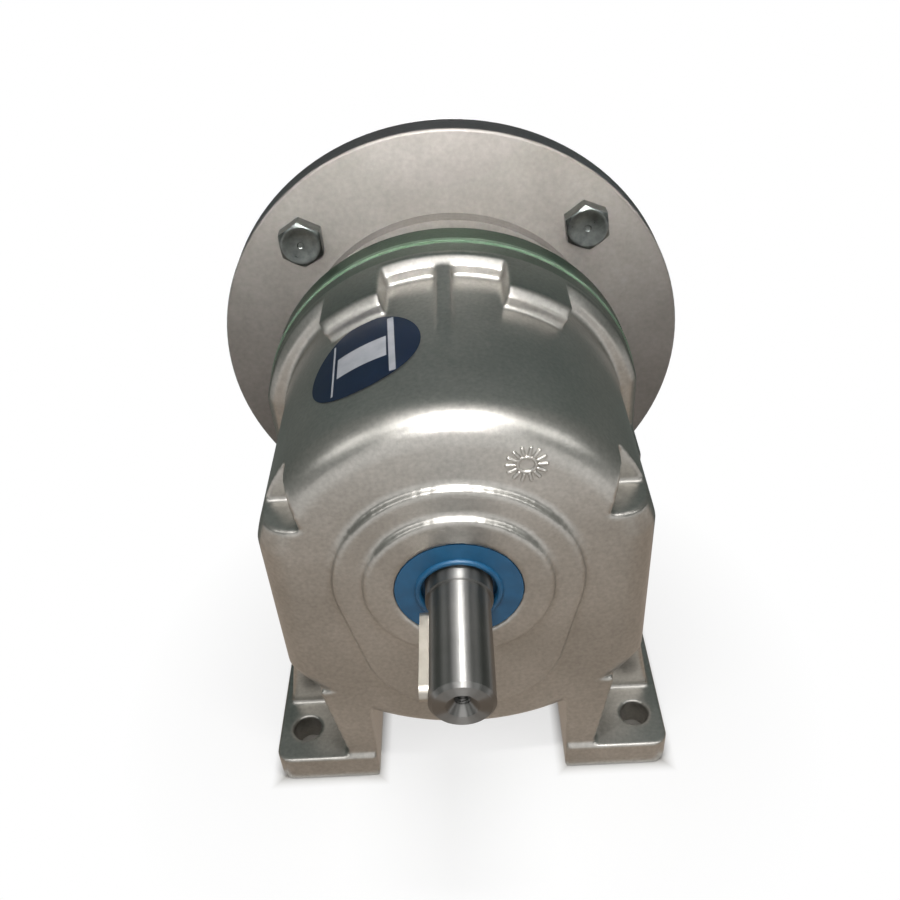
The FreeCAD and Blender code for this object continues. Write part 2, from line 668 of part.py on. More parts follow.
def make_rear_cover():
    """The rear cover: mating rim, neck, the tube of the input bearings and the intermediate bearing boss."""
    body = new_body("rear_cover")
    rim = cross_sketch(body, "rim_sketch", GASKET_REAR)
    egg(rim, "rim_reach")
    pad(body, "mating_rim", rim, "cover_rim_depth")
    neck = pad_rings(body, "neck", f"{COVER_RIM_REAR} - join", FLANGE_BOSS_FRONT,
                     [("neck_radius", "0", "0")])
    radius, rear = number("neck_radius"), number(COVER_RIM_REAR)
    fillet(body, "neck_fillet", neck, "neck_root",
           lambda point: abs(math.hypot(point.x, point.z) - radius) < NEAR and abs(point.y - rear) < NEAR)
    pad_rings(body, "bearing_tube", f"{FLANGE_BOSS_FRONT} - join", IN_SHAFT_END, [("tube_radius", "0", "0")])
    pad_rings(body, "intermediate_boss", MID_BOSS_FRONT, f"{GASKET_REAR} + join",
              [("mid_bearing_outer + mid_boss_wall", "0", "-centre_distance")])
    bore(body, "input_opening", GASKET_REAR, IN_FRONT_BEARING, [("in_shoulder_radius", "0", "0")])
    bore(body, "input_bearing_bore", IN_FRONT_BEARING, IN_SHAFT_END,
         [("in_bearing_outer + seat_fit", "0", "0")])
    bore(body, "circlip_groove", IN_CLIP, f"{IN_CLIP} + circlip_width + seat_fit",
         [("in_bearing_outer + circlip_depth", "0", "0")])
    bore(body, "intermediate_bearing_bore", MID_BOSS_FRONT, GASKET_REAR,
         [("mid_bearing_outer + seat_fit", "0", "-centre_distance")])
    bore(body, "screw_holes", GASKET_REAR, COVER_RIM_REAR,
         [("cover_screw_radius + hole_fit", x, z) for x, z in COVER_SCREWS])
    hole_end = f"{FLANGE_BOSS_FRONT} - flange_screw_bite - thread_runout"
    bore(body, "flange_screw_holes", hole_end, FLANGE_BOSS_FRONT,
         [("flange_screw_radius + running_fit", x, z) for x, z in FLANGE_SCREWS])


def make_input_flange():
    """The input flange: a raised boss, the wide disc, the motor's spigot recess and the bolt holes."""
    body = new_body("input_flange")
    pad_rings(body, "raised_boss", FLANGE_BOSS_FRONT, "flange_front", [("flange_boss_radius", "0", "0")])
    disc_pad = pad_rings(body, "motor_disc", "flange_front", FLANGE_REAR, [("flange_radius", "0", "0")])
    radius, front, rear = number("flange_radius"), number("flange_front"), number(FLANGE_REAR)
    fillet(body, "disc_edges", disc_pad, "flange_edge",
           lambda point: abs(math.hypot(point.x, point.z) - radius) < NEAR
           and min(abs(point.y - front), abs(point.y - rear)) < NEAR)
    bore(body, "spigot_recess", IN_SHAFT_END, FLANGE_REAR, [("spigot_radius", "0", "0")])
    bore(body, "tube_seat", FLANGE_BOSS_FRONT, IN_SHAFT_END, [("tube_radius + seat_fit", "0", "0")])
    bore(body, "motor_bolt_holes", "flange_front", FLANGE_REAR,
         [("motor_bolt_radius + hole_fit", x, z) for x, z in MOTOR_BOLTS])
    bore(body, "flange_screw_holes", FLANGE_BOSS_FRONT, IN_SHAFT_END,
         [("flange_screw_radius + hole_fit", x, z) for x, z in FLANGE_SCREWS])
    bore(body, "screw_head_seats", FLANGE_SCREW_SEAT, IN_SHAFT_END,
         [("flange_screw_head + hole_fit", x, z) for x, z in FLANGE_SCREWS])


def make_flange_screws():
    """Socket screws, sunk in the spigot recess, that hold the input flange on the cover."""
    body = new_body("flange_screws")
    pad_rings(body, "shanks", f"{FLANGE_BOSS_FRONT} - flange_screw_bite", FLANGE_SCREW_SEAT,
              [("flange_screw_radius", x, z) for x, z in FLANGE_SCREWS])
    head_end = f"{FLANGE_SCREW_SEAT} + flange_head_height"
    pad_rings(body, "heads", FLANGE_SCREW_SEAT, head_end,
              [("flange_screw_head", x, z) for x, z in FLANGE_SCREWS])
    sockets = cross_sketch(body, "socket_sketch", f"{head_end} - flange_socket_depth")
    for x, z in FLANGE_SCREWS:
        hexagon(sockets, "2 * flange_screw_socket", x, z)
    pocket(body, "sockets", sockets, "flange_socket_depth")


def make_motor_bolts():
    """Hexagon bolts with their heads on the front of the disc and their threads standing out behind it."""
    body = new_body("motor_bolts")
    heads = cross_sketch(body, "head_sketch", "flange_front - motor_head_height")
    for x, z in MOTOR_BOLTS:
        hexagon(heads, "motor_bolt_flats", x, z)
    pad(body, "heads", heads, "motor_head_height")
    pad_rings(body, "shanks", "flange_front", FLANGE_REAR,
              [("motor_bolt_radius", x, z) for x, z in MOTOR_BOLTS])
    pad_rings(body, "threads", FLANGE_REAR, f"{FLANGE_REAR} + motor_bolt_reach",
              [("motor_thread_radius", x, z) for x, z in MOTOR_BOLTS])


def make_cover_screws():
    """Hexagon screws that hold the rear cover, with their heads in the gap behind the mating rim."""
    body = new_body("cover_screws")
    heads = cross_sketch(body, "head_sketch", COVER_RIM_REAR)
    for x, z in COVER_SCREWS:
        hexagon(heads, "cover_screw_flats", x, z)
    pad(body, "heads", heads, "cover_head_height")
    pad_rings(body, "shanks", "gasket_front - cover_screw_bite", COVER_RIM_REAR,
              [("cover_screw_radius", x, z) for x, z in COVER_SCREWS])


def make_bearing(label, start, width, inner, outer, drop="0"):
    """A shielded ball bearing: an outer ring with its shields and an inner ring that turns in it."""
    middle = f"(({inner} + {outer}) / 2 - ({outer} - {inner}) / race_share)"
    shield = f"(({inner} + {outer}) / 2 + ({outer} - {inner}) / shield_share)"
    end = f"({start} + {width})"
    dish = f"({width} / dish_share)"
    ring = new_body(f"{label}_outer_ring", drop)
    revolve(ring, "ring", [(start, outer), (end, outer), (end, shield), (f"{end} - {dish}", shield),
                           (f"{end} - {dish}", f"{middle} + running_fit"),
                           (f"{start} + {dish}", f"{middle} + running_fit"),
                           (f"{start} + {dish}", shield), (start, shield)])
    core = new_body(f"{label}_inner_ring", drop)
    revolve(core, "ring", [(start, f"{inner} + seat_fit"), (end, f"{inner} + seat_fit"), (end, middle),
                           (start, middle)])


def make_internal_circlip(label, station, radius):
    """A retaining ring sprung into a bore, open at the bottom."""
    body = new_body(label)
    ring = f"{radius} + circlip_depth - seat_fit"
    pad_rings(body, "band", station, f"{station} + circlip_width",
              [(ring, "0", "0"), (f"{radius} - circlip_band", "0", "0")])
    opening = cross_sketch(body, "opening_sketch", station)
    rectangle(opening, "-circlip_opening / 2", f"-({ring}) - join", "circlip_opening / 2", "0")
    pocket(body, "opening", opening, "circlip_width")


def make_external_circlip(label, station, radius):
    """A retaining ring sprung onto a shaft, open at the bottom."""
    body = new_body(label)
    ring = f"{radius} + circlip_band"
    pad_rings(body, "band", station, f"{station} + circlip_width",
              [(ring, "0", "0"), (f"{radius} - circlip_depth + seat_fit", "0", "0")])
    opening = cross_sketch(body, "opening_sketch", station)
    rectangle(opening, "-circlip_opening / 2", f"-({ring}) - join", "circlip_opening / 2", "0")
    pocket(body, "opening", opening, "circlip_width")


def make_output_seal():
    """The front shaft seal: a broad face and a lip set back round the shaft."""
    body = new_body("output_seal")
    end = "(seal_setback + seal_width)"
    revolve(body, "seal", [("seal_setback", "seal_radius"), (end, "seal_radius"),
                           (end, "seal_mouth + seal_flesh"),
                           ("seal_setback + seal_lip_depth + seal_lip", "seal_mouth + seal_flesh"),
                           ("seal_setback + seal_lip_depth + seal_lip", "shoulder_radius + running_fit"),
                           ("seal_setback + seal_lip_depth", "shoulder_radius + running_fit"),
                           ("seal_setback + seal_lip_depth", "seal_mouth"), ("seal_setback", "seal_mouth")])


def make_input_seal():
    """The rear shaft seal, with its lip at the motor's end."""
    body = new_body("input_seal")
    end = f"({IN_SEAL} + in_seal_width)"
    revolve(body, "seal", [(IN_SEAL, "in_bearing_outer"), (end, "in_bearing_outer"),
                           (end, "in_bearing_bore + running_fit"),
                           (f"{end} - in_seal_lip", "in_bearing_bore + running_fit"),
                           (f"{end} - in_seal_lip", "in_bearing_bore + in_seal_flesh"),
                           (IN_SEAL, "in_bearing_bore + in_seal_flesh")])


def make_output_shaft():
    """The stepped output shaft with a keyed end, a tapped centre hole and the wheel's keyway."""
    body = new_body("output_shaft")
    groove = f"{WHEEL_REAR} + circlip_width + seat_fit"
    revolve(body, "steps", [
        (SHAFT_TIP, "shaft_radius - shaft_chamfer"),
        (f"{SHAFT_TIP} + shaft_chamfer", "shaft_radius"),
        ("-shaft_shoulder", "shaft_radius"),
        ("-shaft_shoulder", "shoulder_radius"),
        ("out_bearing_front", "shoulder_radius"),
        ("out_bearing_front", "out_bearing_bore"),
        (OUT_COLLAR, "out_bearing_bore"),
        (OUT_COLLAR, "collar_radius"),
        (OUT_REAR_BEARING, "collar_radius"),
        (OUT_REAR_BEARING, "out_bearing_bore"),
        (OUT_CLIP, "out_bearing_bore"),
        (OUT_CLIP, "wheel_seat_radius"),
        (WHEEL_REAR, "wheel_seat_radius"),
        (WHEEL_REAR, "wheel_seat_radius - circlip_depth"),
        (groove, "wheel_seat_radius - circlip_depth"),
        (groove, "wheel_seat_radius"),
        (OUT_SHAFT_REAR, "wheel_seat_radius"),
        (OUT_SHAFT_REAR, "0"),
        (f"{SHAFT_TIP} + thread_depth + thread_radius / 2", "0"),
        (f"{SHAFT_TIP} + thread_depth", "thread_radius"),
        (f"{SHAFT_TIP} + thread_mouth - thread_radius", "thread_radius"),
        (SHAFT_TIP, "thread_mouth")])
    keyway = new_sketch(body, "keyway_sketch", "YZ_Plane", "key_depth - shaft_radius")
    slot(keyway, KEY_START, KEY_END, "key_width / 2 + seat_fit")
    pocket(body, "keyway", keyway, "key_depth + join")
    seat = new_sketch(body, "wheel_keyway_sketch", "XY_Plane", "wheel_seat_radius - wheel_key_depth")
    rectangle(seat, "-wheel_key_width / 2 - seat_fit", WHEEL_FRONT,
              "wheel_key_width / 2 + seat_fit", WHEEL_REAR)
    cut = pocket(body, "wheel_keyway", seat, "wheel_key_depth + join")
    cut.Reversed = True


def make_output_key():
    """The round-ended key that stands out of the output shaft."""
    body = new_body("output_key")
    outline = new_sketch(body, "key_sketch", "YZ_Plane", "key_depth - shaft_radius - seat_fit")
    slot(outline, KEY_START, KEY_END, "key_width / 2")
    key = pad(body, "key", outline, "key_height")
    key.Reversed = True


def make_block_key(label, start, end, width, height, seat, drop="0"):
    """A square-ended key lying in the top of its shaft seat."""
    body = new_body(label, drop)
    outline = new_sketch(body, "key_sketch", "XY_Plane", f"{seat} + seat_fit")
    rectangle(outline, f"-{width} / 2", start, f"{width} / 2", end)
    key = pad(body, "key", outline, height)
    key.Reversed = False


def involute(angle):
    """The involute function of a pressure angle."""
    return math.tan(angle) - angle


def helix_angle(module, teeth_sum):
    """The helix that makes a pair's pitch circles meet at the centre distance."""
    return math.acos(number(module) * teeth_sum / 2 / number("centre_distance"))


def gear_blank(teeth, mate, module, hand, start, end, phase, layers):
    """Helical teeth between two stations; a tooth stands at phase, from the x axis, at mid-width."""
    count, other, size = int(number(teeth)), int(number(mate)), number(module)
    helix = helix_angle(module, count + other)
    pitch = number("centre_distance") * count / (count + other)
    pressure = math.atan(math.tan(math.radians(number("pressure_angle"))) / math.cos(helix))
    base = pitch * math.cos(pressure)
    tip, root = pitch + size, pitch - number("dedendum") * size
    half_pitch = math.pi / 2 / count - number("tooth_thinning") / 2 / pitch

    def half_angle(radius):
        turn = math.acos(min(1.0, base / radius))
        return half_pitch + involute(pressure) - involute(turn)

    low = max(pitch - number("flank_low") * size, base)
    flank = [(root, half_angle(max(root, base)) * number("root_narrowing")), (low, 0.0),
             (pitch, 0.0), (tip, 0.0)]
    flank = [(radius, width or half_angle(radius)) for radius, width in flank]
    outline = [(radius, -width) for radius, width in flank] + flank[::-1]

    first, last = number(start), number(end)
    wires = []
    for layer in range(layers + 1):
        y = first + (last - first) * layer / layers
        turn = phase + hand * math.tan(helix) / pitch * (y - (first + last) / 2)
        points = []
        for tooth in range(count):
            middle = turn + 2 * math.pi * tooth / count
            for radius, offset in outline:
                angle = middle + offset
                points.append(FreeCAD.Vector(radius * math.cos(angle), y, radius * math.sin(angle)))
        wires.append(Part.makePolygon(points + points[:1]))
    return Part.makeLoft(wires, True, True)


def disc(radius, start, end):
    """A cylinder along the shafts between two stations."""
    first = number(start)
    return Part.makeCylinder(number(radius), number(end) - first, FreeCAD.Vector(0, first, 0),
                             FreeCAD.Vector(0, 1, 0))


def key_slot(width, start, end, top):
    """A block that cuts a keyway upward from the axis."""
    half, first = number(width) / 2, number(start)
    return Part.makeBox(2 * half, number(end) - first, number(top), FreeCAD.Vector(-half, first, 0))


def new_solid(label, shape, drop="0"):
    """A finished shape as a piece on the shaft axis, or below it by drop."""
    piece = doc.addObject("Part::Feature", label)
    piece.Label = label
    piece.Shape = shape.removeSplitter() if len(shape.Solids) == 1 else shape
    place_piece(piece, drop)


DOWN, UP = -math.pi / 2, math.pi / 2


def make_output_wheel():
    """The large slow wheel with a recessed web and a hub against the rear bearing."""
    gear = gear_blank("wheel_teeth", "pinion_teeth", "slow_module", 1, WHEEL_FRONT, WHEEL_REAR, DOWN, 2)
    gear = gear.fuse(disc("wheel_hub_radius", OUT_CLIP, f"{WHEEL_FRONT} + join"))
    for start, end in ((WHEEL_FRONT, f"{WHEEL_FRONT} + wheel_web_recess"),
                       (f"{WHEEL_REAR} - wheel_web_recess", WHEEL_REAR)):
        ring = disc("wheel_web_outer", start, end)
        gear = gear.cut(ring.cut(disc("wheel_web_inner", start, end)))
    gear = gear.cut(disc("wheel_seat_radius + seat_fit", f"{OUT_CLIP} - join", f"{WHEEL_REAR} + join"))
    top = "wheel_seat_radius - wheel_key_depth + wheel_key_height + hole_fit"
    gear = gear.cut(key_slot("wheel_key_width + 2 * seat_fit", f"{OUT_CLIP} - join",
                             f"{WHEEL_REAR} + join", top))
    new_solid("output_wheel", gear)


def make_intermediate_shaft():
    """The intermediate shaft, cut in one piece with the slow pinion."""
    phase = UP + math.pi / int(number("pinion_teeth"))
    shaft = gear_blank("pinion_teeth", "wheel_teeth", "slow_module", -1, PINION_FRONT, PINION_REAR, phase, 3)
    rear = f"{MID_REAR_BEARING} + mid_bearing_width"
    for radius, start, end in (("mid_bearing_bore", MID_FRONT_BEARING, f"{PINION_FRONT} + join"),
                               ("mid_shoulder_radius", f"{PINION_FRONT} - mid_shoulder_length", PINION_FRONT),
                               ("mid_seat_radius", f"{PINION_REAR} - join", FAST_REAR),
                               ("mid_bearing_bore", f"{FAST_REAR} - join", rear)):
        shaft = shaft.fuse(disc(radius, start, end))
    seat = key_slot("mid_key_width + 2 * seat_fit", FAST_FRONT, FAST_REAR, "mid_key_depth + join")
    seat.translate(FreeCAD.Vector(0, 0, number("mid_seat_radius - mid_key_depth")))
    new_solid("intermediate_shaft", shaft.cut(seat), "centre_distance")


def make_intermediate_wheel():
    """The fast wheel, keyed to the intermediate shaft against the pinion's end."""
    phase = UP + math.pi / int(number("fast_wheel_teeth"))
    gear = gear_blank("fast_wheel_teeth", "fast_pinion_teeth", "fast_module", -1, FAST_FRONT, FAST_REAR,
                      phase, 2)
    gear = gear.fuse(disc("mid_hub_radius", PINION_REAR, f"{FAST_FRONT} + join"))
    gear = gear.cut(disc("mid_seat_radius + seat_fit", f"{PINION_REAR} - join", f"{FAST_REAR} + join"))
    top = "mid_seat_radius - mid_key_depth + mid_key_height + hole_fit"
    gear = gear.cut(key_slot("mid_key_width + 2 * seat_fit", f"{PINION_REAR} - join",
                             f"{FAST_REAR} + join", top))
    new_solid("intermediate_wheel", gear, "centre_distance")


def make_input_shaft():
    """The hollow input shaft with its pinion in front and the motor bore behind."""
    gear = gear_blank("fast_pinion_teeth", "fast_wheel_teeth", "fast_module", 1, FAST_FRONT, FAST_REAR,
                      DOWN, 3)
    collar = f"{IN_FRONT_BEARING} - in_collar_width"
    for radius, start, end in (("in_neck_radius", f"{FAST_REAR} - join", f"{collar} + join"),
                               ("in_collar_radius", collar, IN_FRONT_BEARING),
                               ("in_bearing_bore", f"{IN_FRONT_BEARING} - join", IN_SHAFT_END)):
        gear = gear.fuse(disc(radius, start, end))
    groove = disc("in_bearing_bore + join", IN_CLIP, f"{IN_CLIP} + circlip_width + seat_fit")
    groove = groove.cut(disc("in_bearing_bore - circlip_depth", IN_CLIP, f"{IN_CLIP} + 2 * circlip_width"))
    bore_front = f"{IN_SHAFT_END} - motor_bore_depth"
    gear = gear.cut(groove)
    gear = gear.cut(disc("motor_bore_radius", bore_front, f"{IN_SHAFT_END} + join"))
    gear = gear.cut(key_slot("motor_key_width", bore_front, f"{IN_SHAFT_END} + join", "motor_key_top"))
    new_solid("input_shaft", gear)


def make_sleeve(label, start, end, inner, outer, drop="0"):
    """A plain spacer sleeve on a shaft."""
    body = new_body(label, drop)
    revolve(body, "sleeve", [(start, f"{inner} + seat_fit"), (end, f"{inner} + seat_fit"), (end, outer),
                             (start, outer)])


make_housing()
make_gasket()
make_rear_cover()
make_input_flange()
make_cover_screws()
make_motor_bolts()
make_flange_screws()
make_output_seal()
make_input_seal()
for label, start in (("output_front_bearing", "out_bearing_front"),
                     ("output_rear_bearing", OUT_REAR_BEARING)):
    make_bearing(label, start, "out_bearing_width", "out_bearing_bore", "out_bearing_outer")
for label, start in (("intermediate_front_bearing", MID_FRONT_BEARING),
                     ("intermediate_rear_bearing", MID_REAR_BEARING)):
    make_bearing(label, start, "mid_bearing_width", "mid_bearing_bore", "mid_bearing_outer",
                 "centre_distance")
for label, start in (("input_front_bearing", IN_FRONT_BEARING), ("input_rear_bearing", IN_REAR_BEARING)):
    make_bearing(label, start, "in_bearing_width", "in_bearing_bore", "in_bearing_outer")
make_internal_circlip("output_bearing_circlip", OUT_CLIP, "out_bearing_outer")
make_internal_circlip("input_bearing_circlip", IN_CLIP, "in_bearing_outer")
make_external_circlip("output_wheel_circlip", WHEEL_REAR, "wheel_seat_radius")
make_external_circlip("input_shaft_circlip", IN_CLIP, "in_bearing_bore")
make_output_shaft()
make_output_key()
make_output_wheel()
make_block_key("output_wheel_key", WHEEL_FRONT, WHEEL_REAR, "wheel_key_width", "wheel_key_height",
               "wheel_seat_radius - wheel_key_depth")
make_intermediate_shaft()
make_intermediate_wheel()
make_block_key("intermediate_wheel_key", FAST_FRONT, FAST_REAR, "mid_key_width", "mid_key_height",
               "mid_seat_radius - mid_key_depth", "centre_distance")
make_sleeve("intermediate_spacer", FAST_REAR, MID_REAR_BEARING, "mid_bearing_bore", "mid_spacer_radius",
            "centre_distance")
make_input_shaft()
make_sleeve("input_bearing_spacer", f"({IN_FRONT_BEARING} + in_bearing_width)", IN_REAR_BEARING,
            "in_bearing_bore", "in_collar_radius")

doc.recompute()
for item in doc.Objects:
    if "Invalid" in item.State or "Error" in item.State:
        raise RuntimeError(f"{item.Name} failed: {item.State}")
for piece in SUBPARTS:
    if piece.Shape.isNull() or not piece.Shape.isValid():
        raise RuntimeError(f"{piece.Label} has no valid shape")

os.makedirs("parts", exist_ok=True)
for piece in SUBPARTS:
    piece.Shape.exportStep(f"parts/{piece.Label}.step")
    print(f"{piece.Label}: {len(piece.Shape.Solids)} solids, {piece.Shape.Volume:.0f} mm3")
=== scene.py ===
import json
import math

import bmesh
import bpy
from mathutils import Matrix, Vector
from mathutils.bvhtree import BVHTree


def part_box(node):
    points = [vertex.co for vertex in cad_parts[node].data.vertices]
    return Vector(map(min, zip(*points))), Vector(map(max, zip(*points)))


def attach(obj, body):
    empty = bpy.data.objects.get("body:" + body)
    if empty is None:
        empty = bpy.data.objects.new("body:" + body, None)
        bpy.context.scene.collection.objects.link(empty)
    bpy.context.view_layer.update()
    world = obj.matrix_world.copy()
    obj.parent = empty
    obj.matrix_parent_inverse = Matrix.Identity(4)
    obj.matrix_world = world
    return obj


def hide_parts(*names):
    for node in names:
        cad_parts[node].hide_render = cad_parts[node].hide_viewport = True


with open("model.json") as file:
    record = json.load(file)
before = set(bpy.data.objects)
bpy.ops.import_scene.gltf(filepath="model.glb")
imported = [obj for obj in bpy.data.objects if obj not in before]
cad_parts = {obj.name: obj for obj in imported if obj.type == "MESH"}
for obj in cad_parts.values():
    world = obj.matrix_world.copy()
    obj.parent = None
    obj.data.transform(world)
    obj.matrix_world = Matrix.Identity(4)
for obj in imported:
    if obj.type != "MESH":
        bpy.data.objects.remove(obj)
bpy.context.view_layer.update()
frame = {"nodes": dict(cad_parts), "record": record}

MM = 0.001
BACK = Vector((0.0, 1.0, 0.0))
WHITE = (1.0, 1.0, 1.0)
RECORD = frame["record"]
MOUNTS = {mount["name"]: mount for mount in RECORD["mounts"]}
SLOTS = {part["node"]: part["material_slot"] for part in RECORD["subparts"]}

# Places read from the frame
AXIS_Z = MOUNTS["output_shaft"]["pos_m"][2]
FOOT_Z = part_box("housing")[0][2]
BOSS_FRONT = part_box("housing")[0][1]
SHAFT_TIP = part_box("output_shaft")[0][1]

# The camera: its place over the foot pattern, its aim in radians and its lens in millimetres
CAMERA_PLACE = (6.64 * MM, -254.15 * MM, 325.91 * MM)
CAMERA_YAW = -0.03062
CAMERA_PITCH = 0.66777
CAMERA_ROLL = -0.07393
CAMERA_LENS = 36.2255
CAMERA_SENSOR = 36.0
CAMERA_NEAR = 0.01


def at(x, y, z):
    """A row place from millimetres: x right, y behind the front boss, z over the shaft axis."""
    return Vector((x * MM, BOSS_FRONT + y * MM, AXIS_Z + z * MM))


# Node helpers

def new_material(name):
    """A material with one principled shader, its node tree and that shader."""
    material = bpy.data.materials.new(name)
    material.use_nodes = True
    nodes = material.node_tree.nodes
    nodes.clear()
    output = nodes.new("ShaderNodeOutputMaterial")
    shader = nodes.new("ShaderNodeBsdfPrincipled")
    material.node_tree.links.new(shader.outputs["BSDF"], output.inputs["Surface"])
    return material, material.node_tree, shader


def node(tree, kind, **values):
    """Add a node and set its properties or unlinked inputs."""
    item = tree.nodes.new(kind)
    for key, value in values.items():
        if hasattr(item, key):
            setattr(item, key, value)
        else:
            item.inputs[key.replace("_", " ")].default_value = value
    return item


def object_space(tree):
    """Coordinates in metres that stay with the object."""
    return tree.nodes.new("ShaderNodeTexCoord").outputs["Object"]


def split(tree, vector):
    """The x, y and z of a vector, by their letters."""
    item = node(tree, "ShaderNodeSeparateXYZ")
    tree.links.new(vector, item.inputs[0])
    return item.outputs


def stretched(tree, coordinates, scale):
    """Scale a coordinate along its axes."""
    item = tree.nodes.new("ShaderNodeMapping")
    item.inputs["Scale"].default_value = scale
    tree.links.new(coordinates, item.inputs["Vector"])
    return item.outputs["Vector"]


def noise(tree, coordinates, scale, detail=3.0, roughness=0.55):
    """Cloudy noise around a middle of 0.5, with a scale per metre."""
    texture = node(tree, "ShaderNodeTexNoise", Scale=scale, Detail=detail, Roughness=roughness)
    tree.links.new(coordinates, texture.inputs["Vector"])
    return texture.outputs["Fac"]


def ramp(tree, factor, low, high, first, last):
    """Blend two colours as a factor runs from low to high."""
    item = tree.nodes.new("ShaderNodeValToRGB")
    item.color_ramp.elements[0].position = low
    item.color_ramp.elements[0].color = (*first, 1.0)
    item.color_ramp.elements[1].position = high
    item.color_ramp.elements[1].color = (*last, 1.0)
    tree.links.new(factor, item.inputs["Fac"])
    return item.outputs["Color"]


def reached(tree, value, start, end, low=0.0, high=1.0):
    """Run from low to high as a value runs from start to end."""
    item = node(tree, "ShaderNodeMapRange", From_Min=start, From_Max=end, To_Min=low, To_Max=high)
    tree.links.new(value, item.inputs["Value"])
    return item.outputs["Result"]


def spread(tree, factor, low, high):
    """Map a 0 to 1 factor onto a range of numbers."""
    return reached(tree, factor, 0.0, 1.0, low, high)


def combined(tree, operation, one, two):
    """Two numbers joined by a math operation."""
    item = node(tree, "ShaderNodeMath", operation=operation)
    tree.links.new(one, item.inputs[0])
    tree.links.new(two, item.inputs[1])
    return item.outputs[0]


def multiplied(tree, one, two):
    """One colour times another."""
    item = tree.nodes.new("ShaderNodeMix")
    item.data_type = "RGBA"
    item.blend_type = "MULTIPLY"
    item.inputs[0].default_value = 1.0
    tree.links.new(one, item.inputs[6])
    tree.links.new(two, item.inputs[7])
    return item.outputs[2]


def blended(tree, factor, first, last):
    """Run from one colour to another as a factor runs from 0 to 1."""
    item = tree.nodes.new("ShaderNodeMix")
    item.data_type = "RGBA"
    tree.links.new(factor, item.inputs[0])
    tree.links.new(first, item.inputs[6])
    tree.links.new(last, item.inputs[7])
    return item.outputs[2]


def bump(tree, shader, height, strength, distance, under=None):
    """Roughen the shader's normal by a height, over an earlier bump where one is given."""
    item = node(tree, "ShaderNodeBump", Strength=strength, Distance=distance)
    tree.links.new(height, item.inputs["Height"])
    if under is not None:
        tree.links.new(under, item.inputs["Normal"])
    tree.links.new(item.outputs["Normal"], shader.inputs["Normal"])
    return item.outputs["Normal"]


def grey(value):
    """A neutral colour."""
    return (value, value, value)


# Materials

def from_axis(tree, place):
    """How far a place lies from the shaft axis."""
    offset = node(tree, "ShaderNodeVectorMath", operation="SUBTRACT")
    tree.links.new(place, offset.inputs[0])
    offset.inputs[1].default_value = (0.0, 0.0, AXIS_Z)
    flat = node(tree, "ShaderNodeVectorMath", operation="MULTIPLY")
    tree.links.new(offset.outputs["Vector"], flat.inputs[0])
    flat.inputs[1].default_value = (1.0, 0.0, 1.0)
    reach = node(tree, "ShaderNodeVectorMath", operation="LENGTH")
    tree.links.new(flat.outputs["Vector"], reach.inputs[0])
    return reach.outputs["Value"]


# The mating rim and its screw bosses, in millimetres behind the front boss, from the axis and over it
RIM_STATION = (92.5, 95.0)
RIM_RADIUS = (95.0, 90.0)
SCREW_BOSS_STATION = (72.5, 74.0)
SCREW_BOSS_RADIUS = (73.8, 74.3)
SCREW_BOSS_LEVEL = (-20.0, -10.0)
# The share of painted shade on the tops of the screw bosses, and the green-grey tint of the painted shade on
# the mating rim
SCREW_BOSS_SHARE = 0.55
RIM_PAINTED_SHADE = (0.30, 0.38, 0.335)


def painted_rim_shade(tree, place):
    """White over the casting, with painted shade in a green-grey tint on its mating rim and fainter painted
    shade on the tops of its bosses.
    """
    parts = split(tree, place)
    radius = from_axis(tree, place)

    def behind(stations, share=1.0):
        """A share that is reached between two stations."""
        front, rear = (BOSS_FRONT + station * MM for station in stations)
        return reached(tree, parts["Y"], front, rear, high=share)

    def within(limits):
        """Reached between two radii."""
        return reached(tree, radius, *(limit * MM for limit in limits))

    above = reached(tree, parts["Z"], *(AXIS_Z + level * MM for level in SCREW_BOSS_LEVEL))
    rim = combined(tree, "MULTIPLY", behind(RIM_STATION), within(RIM_RADIUS))
    boss_band = behind(SCREW_BOSS_STATION, SCREW_BOSS_SHARE)
    boss_top = combined(tree, "MULTIPLY", boss_band, within(SCREW_BOSS_RADIUS))
    share = combined(tree, "MAXIMUM", rim, combined(tree, "MULTIPLY", boss_top, above))
    return ramp(tree, share, low=0.0, high=1.0, first=WHITE, last=RIM_PAINTED_SHADE)


def cast_metal(name, dark, light, metallic, roughness, grain, grain_depth):
    """Blasted cast aluminium: blotchy tone, fine grain and uneven gloss, with painted shade on the mating
    rim and boss tops.
    """
    material, tree, shader = new_material(name)
    place = object_space(tree)
    cloud = noise(tree, place, scale=22.0, detail=5.0)
    tone = ramp(tree, cloud, low=0.30, high=0.72, first=dark, last=light)
    speck = ramp(tree, noise(tree, place, scale=700.0), low=0.30, high=0.72, first=grey(0.80), last=WHITE)
    # Painted shade: the rim and boss-top darkening is multiplied into the tone
    rim_shaded = multiplied(tree, tone, painted_rim_shade(tree, place))
    tree.links.new(multiplied(tree, rim_shaded, speck), shader.inputs["Base Color"])
    gloss = spread(tree, cloud, low=roughness - 0.06, high=roughness + 0.08)
    tree.links.new(gloss, shader.inputs["Roughness"])
    shader.inputs["Metallic"].default_value = metallic
    grains = noise(tree, place, scale=grain, detail=2.0)
    fine = bump(tree, shader, grains, strength=grain_depth, distance=0.0002)
    bump(tree, shader, noise(tree, place, scale=90.0), strength=0.10, distance=0.0006, under=fine)
    return material


